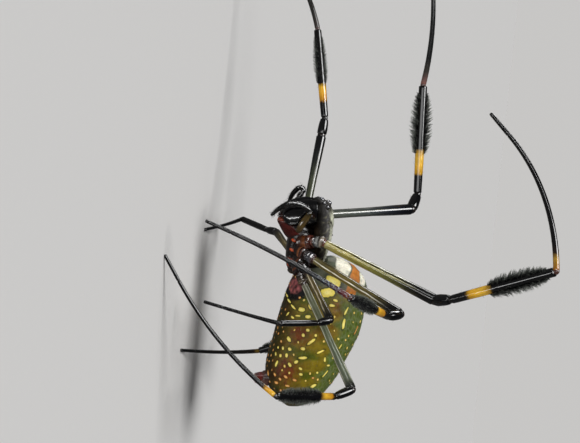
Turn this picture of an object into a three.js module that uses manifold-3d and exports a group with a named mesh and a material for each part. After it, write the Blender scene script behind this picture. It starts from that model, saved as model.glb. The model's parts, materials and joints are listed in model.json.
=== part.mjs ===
// Golden silk orb weaver, adult female, life size, in millimetres.
// +Z is up, the head looks along -Y and the spider's left side is +X.
// Four feet stand on the floor at z = 0, the other four are held in the air.
import * as THREE from "three";
import { mergeVertices } from "three/addons/utils/BufferGeometryUtils.js";
import Module from "manifold-3d";

const wasm = await Module();
wasm.setup();

// Where the head-and-thorax block sits, and how it is turned (degrees)
const bodyPlace = { x: -2.71, y: 11.53, z: 16.65 };
const bodyTurn = { yaw: 10, pitch: 3, roll: 19 };

// Carapace: stations from the face to the waist
const carapaceStations = [
  { along: 0.0, half: 1.5, top: 1.1, bottom: 0.1 },
  { along: 0.25, half: 2.25, top: 1.75, bottom: -0.15 },
  { along: 1.1, half: 2.6, top: 2.45, bottom: -0.2 },
  { along: 2.6, half: 2.95, top: 2.85, bottom: 0.0 },
  { along: 4.4, half: 3.65, top: 2.8, bottom: 0.2 },
  { along: 6.2, half: 4.1, top: 2.6, bottom: 0.3 },
  { along: 8.2, half: 3.75, top: 2.15, bottom: 0.3 },
  { along: 9.5, half: 2.4, top: 1.5, bottom: 0.2 },
  { along: 10.0, half: 1.0, top: 0.95, bottom: 0.3 },
];
const carapaceFront = -5.2;
const hornHeight = 0.45;
const hornRadius = 0.32;

// Sternum, with the core that it closes below
const sternumLength = 5.9;
const sternumHalf = 1.75;
const sternumFront = -0.9;
const sternumLevel = -3.3;
const coreTop = 0.1;

// Abdomen: its centre from the head block's centre, its turn and its stations
const abdomenPlace = { x: -2.2, y: 14.0, z: 1.6 };
const abdomenTurn = { yaw: 6, pitch: 12, roll: 19 };
const abdomenLength = 22.6;
const abdomenStations = [
  { along: 0.0, half: 0.9, top: 0.9, bottom: -1.0 },
  { along: 0.5, half: 2.2, top: 2.9, bottom: -2.5 },
  { along: 2.0, half: 3.25, top: 5.0, bottom: -4.0 },
  { along: 4.6, half: 4.2, top: 5.9, bottom: -5.4 },
  { along: 9.0, half: 5.15, top: 6.4, bottom: -5.6 },
  { along: 13.0, half: 5.35, top: 5.8, bottom: -5.45 },
  { along: 17.0, half: 4.9, top: 5.0, bottom: -5.4 },
  { along: 20.2, half: 3.7, top: 3.6, bottom: -4.3 },
  { along: 22.0, half: 1.9, top: 1.6, bottom: -2.2 },
  { along: 22.6, half: 0.7, top: 0.2, bottom: -0.9 },
];

// Spinnerets: place on the abdomen, length and girth of one
const spinneretPlace = { y: 8.3, z: -4.95 };
const spinneretLength = 1.5;
const spinneretRadius = 0.42;

// Waist
const pedicelRadius = 0.8;
const waistGap = 0.3;

// Eyes: place on the left half of the head, and radius
const eyes = {
  front_middle: { x: 0.42, y: -5.16, z: 0.95, radius: 0.3 },
  rear_middle: { x: 0.5, y: -4.82, z: 1.98, radius: 0.3 },
  front_side: { x: 2.05, y: -4.98, z: 0.85, radius: 0.26 },
  rear_side: { x: 2.3, y: -4.5, z: 1.4, radius: 0.26 },
};
const socketGap = 0.03;

// Jaws, fangs and mouth
const jaw = {
  top: { x: 1.14, y: -3.3, z: -0.25 },
  tip: { x: 1.02, y: -1.9, z: -4.5 },
  half: 1.08,
  depth: 1.95,
};
const fang = {
  base: { x: 0.9, y: -2.4, z: -4.2 },
  bend: { x: 0.6, y: -2.35, z: -4.75 },
  tip: { x: 0.32, y: -2.05, z: -5.15 },
  radius: 0.32,
};

// Lip and chewing blades: stations from the front edge to the sternum
const mouthFront = -1.9;
const mouthStations = [
  { along: 0.0, half: 0.75, top: -4.2, bottom: -5.05 },
  { along: 0.4, half: 1.25, top: -2.0, bottom: -5.1 },
  { along: 1.0, half: 1.45, top: -0.7, bottom: -4.75 },
  { along: 1.8, half: 1.45, top: -0.5, bottom: -4.2 },
  { along: 2.4, half: 1.2, top: -0.7, bottom: -3.7 },
  { along: 2.8, half: 0.8, top: -1.2, bottom: -3.2 },
];

// Feelers beside the jaws, root to tip in the head block's frame
const palpRadius = 0.38;
const palpPaths = {
  left: [
    { x: 2.2, y: -0.5, z: -2.5 },
    { x: 2.9, y: -2.2, z: -1.95 },
    { x: 3.35, y: -3.7, z: -1.4 },
    { x: 3.3, y: -4.5, z: -2.4 },
    { x: 2.8, y: -4.65, z: -4.1 },
    { x: 2.2, y: -3.75, z: -5.4 },
    { x: 1.6, y: -2.4, z: -6.5 },
  ],
  right: [
    { x: -2.2, y: -0.5, z: -2.5 },
    { x: -2.8, y: -2.5, z: -2.3 },
    { x: -3.0, y: -4.3, z: -2.0 },
    { x: -3.1, y: -5.6, z: -1.3 },
    { x: -3.4, y: -6.0, z: -1.8 },
    { x: -3.8, y: -4.9, z: -2.6 },
    { x: -3.9, y: -3.3, z: -3.1 },
  ],
};

// Legs, front pair to rear pair: hip on the left half of the head block and how far each side's
// hip swings back, lengths and girths
const legPairs = [
  {
    hip: { x: 4.4, y: 0.15, z: 0.7 },
    root: { x: 1.5, y: 1.0, z: -2.0 },
    swing: { left: 0, right: -2.05 },
    lengths: { femur: 18.1, patella: 2.8, tibia: 16.6, metatarsus: 20.4, tarsus: 4.0 },
    girth: 1.0,
    brush: { start: 0.38, end: 0.95, radius: 1.9 },
  },
  {
    hip: { x: 4.7, y: 2.6, z: -0.4 },
    root: { x: 1.6, y: 2.0, z: -2.1 },
    lengths: { femur: 16.7, patella: 2.6, tibia: 13.4, metatarsus: 17.8, tarsus: 3.7 },
    girth: 0.88,
    brush: { start: 0.4, end: 0.93, radius: 1.2 },
  },
  {
    hip: { x: 4.3, y: 4.6, z: -0.8 },
    root: { x: 1.6, y: 3.0, z: -2.1 },
    lengths: { femur: 9.2, patella: 2.0, tibia: 6.4, metatarsus: 8.4, tarsus: 2.8 },
    girth: 0.72,
    brush: null,
  },
  {
    hip: { x: 3.9, y: 6.2, z: -1.1 },
    root: { x: 1.3, y: 4.0, z: -2.0 },
    lengths: { femur: 17.2, patella: 2.9, tibia: 11.6, metatarsus: 20.2, tarsus: 3.8 },
    girth: 0.8,
    brush: { start: 0.27, end: 0.95, radius: 1.5 },
  },
];

// Girth of a leg with girth 1, as radii along each length
const coxaRadius = 0.98;
const hipRadius = 0.86;
const femurRadii = [0.66, 0.7, 0.68, 0.7, 0.8, 0.88];
const patellaRadii = [0.88, 0.84];
const tibiaRadii = [0.72, 0.66];
const metatarsusRadii = [0.52, 0.44, 0.38, 0.35];
const tarsusRadii = [0.34, 0.32, 0.28];
const thinnest = 0.26;

// Pose: for each length the turn from straight ahead, out to its own side, and the lift
// above level, in degrees; the metatarsus bends evenly from its own way to the tarsus's
const pose = {
  left: [
    { femur: [157.3, 67.7], patella: [77, 52], tibia: [55, 55], metatarsus: [-7, -5], tarsus: [-27, -42] },
    { femur: [128, 54], patella: [100, -33], tibia: [79, -19], metatarsus: [-11, -63], tarsus: [-22, -71] },
    { femur: [140, 29], patella: [119, -55], tibia: [95, -47], metatarsus: [-59, -76], tarsus: [-51, -75] },
    { femur: [161, 31], patella: [120, -45], tibia: [90, -38], metatarsus: [-3, -58], tarsus: [18, -31] },
  ],
  right: [
    { femur: [77.6, 49.1], patella: [31, 12], tibia: [0, -3], metatarsus: [-10, 9], tarsus: [-10, -15] },
    { femur: [12, 4], patella: [5, 4], tibia: [4, -11], metatarsus: [3, -17], tarsus: [2, -55] },
    { femur: [65, -27], patella: [83, -52], tibia: [74, -46], metatarsus: [-104, -17], tarsus: [-100, -21] },
    { femur: [118, 23], patella: [137, -41], tibia: [174, -67], metatarsus: [-91, -19], tarsus: [-87, -20] },
  ],
};
const cutWidth = 0.05;
const hipGap = 0.06;

const finishes = {
  carapace: { color: 0x9a988c, roughness: 0.6 },
  black: { color: 0x0c0b0c, roughness: 0.25 },
  eye: { color: 0x020203, roughness: 0.05 },
  red: { color: 0x5a120c, roughness: 0.35 },
  coxa: { color: 0x7a3412, roughness: 0.3 },
  femur: { color: 0x6b5a2c, roughness: 0.3 },
  brush: { color: 0x060606, roughness: 0.8 },
  abdomen: { color: 0x4a4a1c, roughness: 0.4 },
};

function finish(name) {
  const { color, roughness } = finishes[name];
  return new THREE.MeshStandardMaterial({ color, roughness, metalness: 0 });
}

function point({ x = 0, y = 0, z = 0 }) {
  return new THREE.Vector3(x, y, z);
}

function turned(group, { yaw, pitch, roll }) {
  const radians = THREE.MathUtils.degToRad;
  group.rotation.set(-radians(pitch), -radians(roll), radians(yaw), "ZXY");
}

// A closed body over a row of rings with the same number of points, its ends closed by fans
function skin(rings) {
  const sides = rings[0].length;
  const corners = rings.flat();
  const middle = (ring) => ring.reduce((sum, corner) => sum.add(corner), new THREE.Vector3()).divideScalar(sides);
  const first = corners.push(middle(rings[0])) - 1;
  const last = corners.push(middle(rings[rings.length - 1])) - 1;
  const index = [];
  for (let side = 0; side < sides; side++) {
    const next = (side + 1) % sides;
    for (let ring = 0; ring < rings.length - 1; ring++) {
      const a = ring * sides + side;
      const b = ring * sides + next;
      index.push(a, b, b + sides, a, b + sides, a + sides);
    }
    const end = (rings.length - 1) * sides;
    index.push(first, next, side, last, end + side, end + next);
  }
  const geometry = new THREE.BufferGeometry();
  geometry.setAttribute("position", new THREE.Float32BufferAttribute(corners.flatMap((c) => c.toArray()), 3));
  geometry.setIndex(index);
  return geometry;
}

// Value of a key part of the way through a list of stations, on a smooth curve
function between(stations, along, key) {
  const last = stations.length - 1;
  let i = 0;
  while (i < last - 1 && stations[i + 1].along < along) i++;
  const at = (k) => stations[THREE.MathUtils.clamp(k, 0, last)];
  const slope = (k) => (at(k + 1)[key] - at(k - 1)[key]) / (at(k + 1).along - at(k - 1).along);
  const span = at(i + 1).along - at(i).along;
  const t = (along - at(i).along) / span;
  const rise = at(i + 1)[key] - at(i)[key];
  const bend = (1 - t) * (slope(i) * span - rise) - t * (slope(i + 1) * span - rise);
  return at(i)[key] + rise * t + t * (1 - t) * bend;
}

// A body along Y from a list of stations, each an oval with its own top and bottom
function loft(stations, front, { sides, rings, grow = 0, round = 1, floorRound = 1 }) {
  const length = stations[stations.length - 1].along;
  const list = [];
  for (let ring = 0; ring <= rings; ring++) {
    const share = (1 - Math.cos((Math.PI * ring) / rings)) / 2;
    const along = length * share;
    const half = between(stations, along, "half") + grow;
    const top = between(stations, along, "top") + grow;
    const bottom = between(stations, along, "bottom") - grow;
    const middle = bottom + (top - bottom) * 0.45;
    const y = front + along + grow * (2 * share - 1);
    const points = [];
    for (let side = 0; side < sides; side++) {
      const angle = (2 * Math.PI * side) / sides;
      const rise = Math.sin(angle);
      const bulge = rise > 0 ? round : floorRound;
      const x = half * Math.sign(Math.cos(angle)) * Math.abs(Math.cos(angle)) ** bulge;
      const z = middle + rise * (rise > 0 ? top - middle : middle - bottom);
      points.push(new THREE.Vector3(x, y, z));
    }
    list.push(points.reverse());
  }
  return skin(list);
}

// A round limb along a list of points; an end may lie on a plane of its own
function limb(path, radii, { sides = 8, startPlane = null, endPlane = null, stretch = 1 } = {}) {
  const last = path.length - 1;
  const way = (i) => path[Math.min(i + 1, last)].clone().sub(path[Math.max(i - 1, 0)]).normalize();
  const start = way(0);
  const other = Math.abs(start.y) < 0.8 ? new THREE.Vector3(0, 1, 0) : new THREE.Vector3(1, 0, 0);
  let across = start.clone().cross(other).normalize();
  const rings = path.map((centre, i) => {
    const ahead = way(i);
    across = across.sub(ahead.clone().multiplyScalar(across.dot(ahead))).normalize();
    const upward = ahead.clone().cross(across);
    const plane = (i === 0 && startPlane) || (i === last && endPlane);
    return Array.from({ length: sides }, (_, side) => {
      const angle = (2 * Math.PI * side) / sides;
      const corner = centre.clone();
      corner.addScaledVector(across, radii[i] * Math.cos(angle));
      corner.addScaledVector(upward, radii[i] * stretch * Math.sin(angle));
      if (plane) {
        corner.addScaledVector(ahead, -plane.distanceToPoint(corner) / plane.normal.dot(ahead));
      }
      return corner;
    });
  });
  return skin(rings);
}

// Rings that round off a limb's end: places and radii past its last full ring
function roundedEnd(from, way, radius, steps = 2) {
  return Array.from({ length: steps }, (_, i) => {
    const angle = ((i + 1) / (steps + 0.35)) * (Math.PI / 2);
    return { at: from.clone().addScaledVector(way, radius * Math.sin(angle)), radius: radius * Math.cos(angle) };
  });
}

function solid(geometry, matrix = new THREE.Matrix4()) {
  const bare = geometry.clone().applyMatrix4(matrix);
  bare.deleteAttribute("normal");
  bare.deleteAttribute("uv");
  const merged = mergeVertices(bare, 1e-5);
  const vertProperties = new Float32Array(merged.attributes.position.array);
  const triVerts = new Uint32Array(merged.index.array);
  return new wasm.Manifold(new wasm.Mesh({ numProp: 3, vertProperties, triVerts }));
}

function geometryOf(body) {
  const { vertProperties, triVerts, numProp } = body.getMesh();
  const geometry = new THREE.BufferGeometry();
  const corners = new Float32Array((vertProperties.length / numProp) * 3);
  for (let i = 0; i < corners.length / 3; i++) {
    corners.set(vertProperties.subarray(i * numProp, i * numProp + 3), i * 3);
  }
  geometry.setAttribute("position", new THREE.BufferAttribute(corners, 3));
  geometry.setIndex(Array.from(triVerts));
  return geometry;
}

function addMesh(group, name, geometry, finishName) {
  const mesh = new THREE.Mesh(geometry, finish(finishName));
  mesh.name = name;
  geometry.computeVertexNormals();
  group.add(mesh);
  return mesh;
}

function ball(centre, radius, segments = 7) {
  const geometry = new THREE.SphereGeometry(radius, segments, segments - 2);
  return geometry.translate(centre.x, centre.y, centre.z);
}

const spider = new THREE.Group();
const headBlock = new THREE.Group();
headBlock.position.copy(point(bodyPlace));
turned(headBlock, bodyTurn);
const rear = new THREE.Group();
rear.position.copy(point(bodyPlace)).add(point(abdomenPlace));
turned(rear, abdomenTurn);
spider.add(headBlock, rear);
spider.updateMatrixWorld(true);

// ---- head and thorax ----

const carapaceShape = { sides: 18, rings: 11, round: 0.85, floorRound: 0.6 };
const sternumStations = [
  { along: 0.0, half: sternumHalf * 0.45, top: coreTop, bottom: sternumLevel + 0.7 },
  { along: sternumLength * 0.12, half: sternumHalf * 0.85, top: coreTop, bottom: sternumLevel + 0.15 },
  { along: sternumLength * 0.4, half: sternumHalf, top: coreTop, bottom: sternumLevel },
  { along: sternumLength * 0.75, half: sternumHalf * 0.8, top: coreTop, bottom: sternumLevel + 0.1 },
  { along: sternumLength, half: sternumHalf * 0.35, top: coreTop, bottom: sternumLevel + 0.7 },
];
const sternumShape = { sides: 14, rings: 7, round: 0.5, floorRound: 0.7 };

function eyePlaces() {
  const places = [];
  for (const [row, { x, y, z, radius }] of Object.entries(eyes)) {
    for (const [side, sign] of [["left", 1], ["right", -1]]) {
      places.push({ name: `eye_${side}_${row}`, centre: new THREE.Vector3(sign * x, y, z), radius });
    }
  }
  return places;
}

function carapaceBody(grow = 0) {
  let body = solid(loft(carapaceStations, carapaceFront, { ...carapaceShape, grow }));
  for (const sign of [1, -1]) {
    const horn = new THREE.ConeGeometry(hornRadius + grow, hornHeight * 2, 6).rotateX(Math.PI / 2);
    body = body.add(solid(horn.translate(sign * 0.95, -0.3, 2.75)));
  }
  return body;
}

function addCarapace() {
  let body = carapaceBody();
  for (const { centre, radius } of eyePlaces()) {
    body = body.subtract(solid(ball(centre, radius + socketGap)));
  }
  addMesh(headBlock, "carapace", geometryOf(body), "carapace");
}

function addEyes() {
  for (const { name, centre, radius } of eyePlaces()) {
    addMesh(headBlock, name, ball(centre, radius), "eye");
  }
}

function sternumBody(grow = 0) {
  return solid(loft(sternumStations, sternumFront, { ...sternumShape, grow }));
}

function addSternum() {
  const body = sternumBody().subtract(carapaceBody(cutWidth)).subtract(mouthBody(cutWidth));
  addMesh(headBlock, "sternum", geometryOf(body), "black");
}

function mouthBody(grow = 0) {
  return solid(loft(mouthStations, mouthFront, { sides: 14, rings: 7, grow }));
}

function jawBody(sign, grow = 0) {
  const top = point(jaw.top);
  const tip = point(jaw.tip);
  const shares = [0, 0.16, 0.4, 0.7, 0.9, 1];
  const widths = [0.8, 1, 1.02, 0.92, 0.66, 0.34];
  const path = shares.map((share) => {
    const bow = Math.sin(Math.PI * share) * 0.35;
    return top.clone().lerp(tip, share).add(new THREE.Vector3(0, -bow, 0));
  });
  const radii = widths.map((width) => jaw.half * width + grow);
  const body = limb(path, radii, { sides: 10, stretch: jaw.depth / jaw.half });
  return solid(sign > 0 ? body : mirrored(body));
}

// The same body on the other side of the middle
function mirrored(geometry) {
  const copy = geometry.clone().applyMatrix4(new THREE.Matrix4().makeScale(-1, 1, 1));
  const index = copy.index.array;
  for (let i = 0; i < index.length; i += 3) {
    [index[i], index[i + 1]] = [index[i + 1], index[i]];
  }
  return copy;
}

function addJaws() {
  for (const [side, sign] of [["left", 1], ["right", -1]]) {
    const path = [fang.base, fang.bend, fang.tip].map(point);
    const tooth = limb(path, [fang.radius, fang.radius * 0.95, fang.radius * 0.75], { sides: 8 });
    const tusk = solid(sign > 0 ? tooth : mirrored(tooth));
    const wide = limb(path, [1, 1, 1].map((k) => k * fang.radius + cutWidth), { sides: 8 });
    const groove = solid(sign > 0 ? wide : mirrored(wide));
    const middle = [sign, 0, 0];
    const body = jawBody(sign)
      .trimByPlane(middle, cutWidth / 2)
      .subtract(carapaceBody(cutWidth))
      .subtract(mouthBody(cutWidth))
      .subtract(groove);
    addMesh(headBlock, `chelicera_${side}`, geometryOf(body), "black");
    const freeTusk = tusk.trimByPlane(middle, cutWidth / 2).subtract(mouthBody(cutWidth));
    addMesh(headBlock, `fang_${side}`, geometryOf(freeTusk), "black");
  }
}

function addMouth() {
  const body = mouthBody().subtract(carapaceBody(cutWidth));
  addMesh(headBlock, "mouthparts", geometryOf(body), "red");
}

function palpBody(side, grow = 0) {
  const curve = new THREE.CatmullRomCurve3(palpPaths[side].map(point), false, "centripetal");
  const girths = [1.1, 1.35, 1.35, 1.2, 1.04, 1.08, 1.1, 1.05, 0.92, 0.8, 0.7];
  const path = curve.getSpacedPoints(girths.length - 1);
  return solid(limb(path, girths.map((girth) => girth * palpRadius + grow), { sides: 7 }));
}

function addPalps() {
  for (const [side, sign] of [["left", 1], ["right", -1]]) {
    const body = palpBody(side)
      .subtract(jawBody(sign, cutWidth))
      .subtract(mouthBody(cutWidth))
      .subtract(sternumBody(cutWidth))
      .subtract(carapaceBody(cutWidth))
      .subtract(coxaBody(0, sign, cutWidth));
    addMesh(headBlock, `palp_${side}`, geometryOf(largest(body)), "black");
  }
}

// The biggest loose piece that a cut leaves
function largest(body) {
  return body.decompose().sort((a, b) => b.volume() - a.volume())[0];
}

function hipPoint(pair, sign) {
  const { hip, swing } = legPairs[pair];
  const shift = swing ? swing[sign > 0 ? "left" : "right"] : 0;
  return new THREE.Vector3(hip.x, hip.y + shift, hip.z);
}

function coxaBody(pair, sign, grow = 0) {
  const { root, girth } = legPairs[pair];
  const from = point(root);
  const to = hipPoint(pair, sign);
  const size = 0.35 + 0.65 * girth;
  const shares = [0, 0.3, 0.6, 0.9];
  const path = shares.map((share) => from.clone().lerp(to, share));
  const trunk = limb(path, [0.92, 1, 0.95, 0.7].map((k) => k * coxaRadius * size + grow), { sides: 8 });
  const knuckle = ball(to, hipRadius * size + grow, 8);
  const body = solid(trunk).add(solid(knuckle));
  return sign > 0 ? body : body.mirror([1, 0, 0]);
}

// The upright plane halfway between two neighbouring legs, as a normal towards the rear one
function planeBetween(pair, sign) {
  const inner = point(legPairs[pair].root).lerp(point(legPairs[pair + 1].root), 0.5);
  const outer = hipPoint(pair, sign).lerp(hipPoint(pair + 1, sign), 0.5);
  const outward = outer.clone().sub(inner).setZ(0).normalize();
  const normal = new THREE.Vector3(-outward.y, outward.x, 0);
  const offset = normal.dot(inner);
  return { normal: [sign * normal.x, normal.y, 0], offset };
}

function addCoxae() {
  for (const [side, sign] of [["left", 1], ["right", -1]]) {
    legPairs.forEach((_, pair) => {
      let body = coxaBody(pair, sign)
        .subtract(sternumBody(cutWidth))
        .subtract(carapaceBody(cutWidth))
        .subtract(mouthBody(cutWidth));
      if (pair < legPairs.length - 1) {
        const { normal, offset } = planeBetween(pair, sign);
        body = body.trimByPlane(normal.map((n) => -n), -offset + cutWidth / 2);
      }
      if (pair > 0) {
        const { normal, offset } = planeBetween(pair - 1, sign);
        body = body.trimByPlane(normal, offset + cutWidth / 2);
      }
      const name = `${side}_leg_${pair + 1}_coxa`;
      addMesh(headBlock, name, geometryOf(largest(body)), pair < 2 ? "coxa" : "black");
    });
  }
}

// ---- abdomen ----

const abdomenShape = { sides: 20, rings: 15, round: 0.95, floorRound: 0.95 };

function abdomenBody(grow = 0) {
  return solid(loft(abdomenStations, -abdomenLength / 2, { ...abdomenShape, grow }));
}

function spinneretBody(grow = 0) {
  const base = new THREE.Vector3(0, spinneretPlace.y, spinneretPlace.z);
  const down = new THREE.Vector3(0, 0.25, -1).normalize();
  const mound = limb(
    [base.clone().addScaledVector(down, -0.8), base.clone().addScaledVector(down, 0.55)],
    [1.25 + grow, 0.95 + grow],
    { sides: 10 },
  );
  let body = solid(mound);
  for (const [x, y, share] of [[0.42, -0.4, 1], [-0.42, -0.4, 1], [0.4, 0.48, 0.9], [-0.4, 0.48, 0.9]]) {
    const from = base.clone().add(new THREE.Vector3(x, y, 0));
    const to = from.clone().addScaledVector(down, spinneretLength * share);
    const girths = [1, 0.85, 0.5].map((k) => k * spinneretRadius + grow);
    body = body.add(solid(limb([from, from.clone().lerp(to, 0.65), to], girths, { sides: 6 })));
  }
  return body;
}

// A body of one group, in the frame of another
function moved(body, from, to) {
  return body.transform(to.matrixWorld.clone().invert().multiply(from.matrixWorld).elements);
}

function addAbdomen() {
  let body = abdomenBody();
  for (const neighbour of [carapaceBody, sternumBody]) {
    body = body.subtract(moved(neighbour(waistGap), headBlock, rear));
  }
  for (const sign of [1, -1]) {
    body = body.subtract(moved(coxaBody(3, sign, waistGap), headBlock, rear));
  }
  addMesh(rear, "abdomen", geometryOf(largest(body)), "abdomen");
  const tips = spinneretBody().subtract(abdomenBody(cutWidth));
  addMesh(rear, "spinnerets", geometryOf(largest(tips)), "red");
}

function addPedicel() {
  const from = headBlock.localToWorld(new THREE.Vector3(0, 3.9, -0.2));
  const to = rear.localToWorld(new THREE.Vector3(0, -8.4, -2.2));
  const path = [from, from.clone().lerp(to, 0.5), to];
  const tube = solid(limb(path, [1, 0.85, 1.1].map((k) => k * pedicelRadius), { sides: 10 }));
  let body = tube
    .subtract(moved(carapaceBody(cutWidth), headBlock, spider))
    .subtract(moved(sternumBody(cutWidth), headBlock, spider))
    .subtract(moved(abdomenBody(cutWidth), rear, spider));
  for (const sign of [1, -1]) {
    body = body.subtract(moved(coxaBody(3, sign, cutWidth), headBlock, spider));
  }
  addMesh(spider, "pedicel", geometryOf(largest(body)), "black");
}

// ---- legs ----

function direction(sign, [turn, lift]) {
  const around = THREE.MathUtils.degToRad(turn);
  const up = THREE.MathUtils.degToRad(lift);
  return new THREE.Vector3(
    sign * Math.sin(around) * Math.cos(up),
    -Math.cos(around) * Math.cos(up),
    Math.sin(up),
  );
}

// The plane that halves the bend between two lengths, moved along by half a cut
function jointPlane(place, before, after, shift) {
  const normal = before.clone().add(after).normalize();
  return new THREE.Plane().setFromNormalAndCoplanarPoint(normal, place.clone().addScaledVector(normal, shift));
}

// Radius part of the way along a length, from an evenly spaced list
function radiusAt(list, share) {
  const place = share * (list.length - 1);
  const i = Math.min(Math.floor(place), list.length - 2);
  return THREE.MathUtils.lerp(list[i], list[i + 1], place - i);
}

// How far the brush of bristles stands out from the middle of the tibia
function brushRadius(brush, share, bare) {
  if (!brush || share <= brush.start || share >= brush.end) {
    return bare;
  }
  const t = (share - brush.start) / (brush.end - brush.start);
  const swell = Math.sin(Math.PI * t ** 0.8) ** 0.55;
  return bare + (brush.radius - bare) * swell;
}

// Shares of the tibia's length where its outline bends: close together at the brush's ends
function brushShares({ start, end }) {
  const inside = [0, 0.05, 0.15, 0.35, 0.6, 0.8, 0.92, 1].map((t) => start + (end - start) * t);
  return [0.1, ...inside, 1];
}

function straight(from, way, length, shares) {
  return shares.map((share) => from.clone().addScaledVector(way, length * share));
}

function bentPath(from, startWay, endWay, length, steps) {
  const bend = startWay.angleTo(endWay);
  const path = [from.clone()];
  for (let i = 0; i < steps; i++) {
    const t = (i + 0.5) / steps;
    const way = startWay.clone();
    if (bend > 1e-4) {
      way.multiplyScalar(Math.sin((1 - t) * bend)).addScaledVector(endWay, Math.sin(t * bend)).normalize();
    }
    path.push(path[i].clone().addScaledVector(way, length / steps));
  }
  return path;
}

function addLeg(side, sign, pair) {
  const { lengths, girth, brush } = legPairs[pair];
  const ways = {};
  for (const [part, angles] of Object.entries(pose[side][pair])) {
    ways[part] = direction(sign, angles);
  }
  const thick = (list, share) => Math.max(radiusAt(list, share) * girth, thinnest);
  const name = (part) => `${side}_leg_${pair + 1}_${part}`;
  const hipPlace = headBlock.localToWorld(hipPoint(pair, sign).multiply(new THREE.Vector3(sign, 1, 1)));
  const kneePlace = hipPlace.clone().addScaledVector(ways.femur, lengths.femur);
  const shinPlace = kneePlace.clone().addScaledVector(ways.patella, lengths.patella);
  const anklePlace = shinPlace.clone().addScaledVector(ways.tibia, lengths.tibia);

  const hipReach = (hipRadius * (0.35 + 0.65 * girth) + hipGap) / lengths.femur;
  const femurShares = [hipReach, 0.2, 0.5, 0.75, 0.9, 1];
  const femur = limb(
    straight(hipPlace, ways.femur, lengths.femur, femurShares),
    femurShares.map((share) => thick(femurRadii, share)),
    { endPlane: jointPlane(kneePlace, ways.femur, ways.patella, -cutWidth / 2) },
  );
  addMesh(spider, name("femur"), femur, "femur");

  const tibiaShares = brush ? brushShares(brush) : [0.1, 0.4, 0.7, 1];
  const shinPath = [
    ...straight(kneePlace, ways.patella, lengths.patella, [0, 0.45, 0.85]),
    ...straight(shinPlace, ways.tibia, lengths.tibia, tibiaShares),
  ];
  const shinRadii = [
    ...[0, 0.45, 0.85].map((share) => thick(patellaRadii, share)),
    ...tibiaShares.map((share) => brushRadius(brush, share, thick(tibiaRadii, share))),
  ];
  const tibia = limb(shinPath, shinRadii, {
    sides: brush ? 10 : 8,
    startPlane: jointPlane(kneePlace, ways.femur, ways.patella, cutWidth / 2),
    endPlane: jointPlane(anklePlace, ways.tibia, ways.metatarsus, -cutWidth / 2),
  });
  addMesh(spider, name("tibia"), tibia, brush ? "brush" : "black");

  const steps = 7;
  const metatarsusPath = bentPath(anklePlace, ways.metatarsus, ways.tarsus, lengths.metatarsus, steps);
  const wristPlace = metatarsusPath[steps];
  const metatarsus = limb(
    metatarsusPath,
    metatarsusPath.map((_, i) => thick(metatarsusRadii, i / steps)),
    {
      startPlane: jointPlane(anklePlace, ways.tibia, ways.metatarsus, cutWidth / 2),
      endPlane: jointPlane(wristPlace, ways.tarsus, ways.tarsus, -cutWidth / 2),
    },
  );
  addMesh(spider, name("metatarsus"), metatarsus, "black");

  const tarsusShares = [0, 0.5, 1];
  const tarsusPath = straight(wristPlace, ways.tarsus, lengths.tarsus, tarsusShares);
  const tip = roundedEnd(tarsusPath[2], ways.tarsus, thinnest);
  const tarsus = limb(
    [...tarsusPath, ...tip.map((ring) => ring.at)],
    [...tarsusShares.map((share) => thick(tarsusRadii, share)), ...tip.map((ring) => ring.radius)],
    { startPlane: jointPlane(wristPlace, ways.tarsus, ways.tarsus, cutWidth / 2) },
  );
  addMesh(spider, name("tarsus"), geometryOf(solid(tarsus).trimByPlane([0, 0, 1], 0)), "black");
}

addCarapace();
addEyes();
addSternum();
addMouth();
addJaws();
addPalps();
addCoxae();
addAbdomen();
addPedicel();
for (const [side, sign] of [["left", 1], ["right", -1]]) {
  legPairs.forEach((_, pair) => addLeg(side, sign, pair));
}

export default spider;
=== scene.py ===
import json

import bpy
import numpy as np
from mathutils import Matrix, Vector

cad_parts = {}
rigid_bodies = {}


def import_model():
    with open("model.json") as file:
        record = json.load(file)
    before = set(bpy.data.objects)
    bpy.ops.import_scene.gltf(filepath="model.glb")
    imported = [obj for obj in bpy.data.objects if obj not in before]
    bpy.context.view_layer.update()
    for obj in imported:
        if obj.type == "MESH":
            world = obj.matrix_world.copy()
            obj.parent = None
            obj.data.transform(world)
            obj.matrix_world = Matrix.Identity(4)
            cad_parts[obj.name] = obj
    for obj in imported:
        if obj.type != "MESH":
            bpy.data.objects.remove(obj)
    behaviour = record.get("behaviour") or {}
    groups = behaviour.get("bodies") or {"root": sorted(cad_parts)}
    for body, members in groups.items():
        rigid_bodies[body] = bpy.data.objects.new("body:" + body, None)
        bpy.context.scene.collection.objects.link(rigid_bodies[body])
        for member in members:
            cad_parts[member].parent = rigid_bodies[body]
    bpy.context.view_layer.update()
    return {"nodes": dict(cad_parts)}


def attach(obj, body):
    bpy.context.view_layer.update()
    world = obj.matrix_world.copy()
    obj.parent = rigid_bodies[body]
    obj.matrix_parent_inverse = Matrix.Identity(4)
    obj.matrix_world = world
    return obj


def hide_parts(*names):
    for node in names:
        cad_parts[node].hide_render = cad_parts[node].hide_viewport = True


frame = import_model()
print("frame: solids loaded,", len(frame["nodes"]), "nodes")

# Lengths are in millimetres until a mesh is made. The head looks along -Y, the left side is +X.
mm = 0.001
fullTurn = 2 * np.pi
headPlace = np.array([-2.71, 11.53, 16.65])
headAngles = {"yaw": 10, "pitch": 3, "roll": 19}
rearPlace = headPlace + np.array([-2.2, 14.0, 1.6])
rearAngles = {"yaw": 6, "pitch": 12, "roll": 19}


def turnMatrix(yaw, pitch, roll):
    parts = [("Z", yaw), ("X", -pitch), ("Y", -roll)]
    turns = [np.array(Matrix.Rotation(np.radians(angle), 3, axis)) for axis, angle in parts]
    return turns[0] @ turns[1] @ turns[2]


headTurn = turnMatrix(**headAngles)
rearTurn = turnMatrix(**rearAngles)


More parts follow.
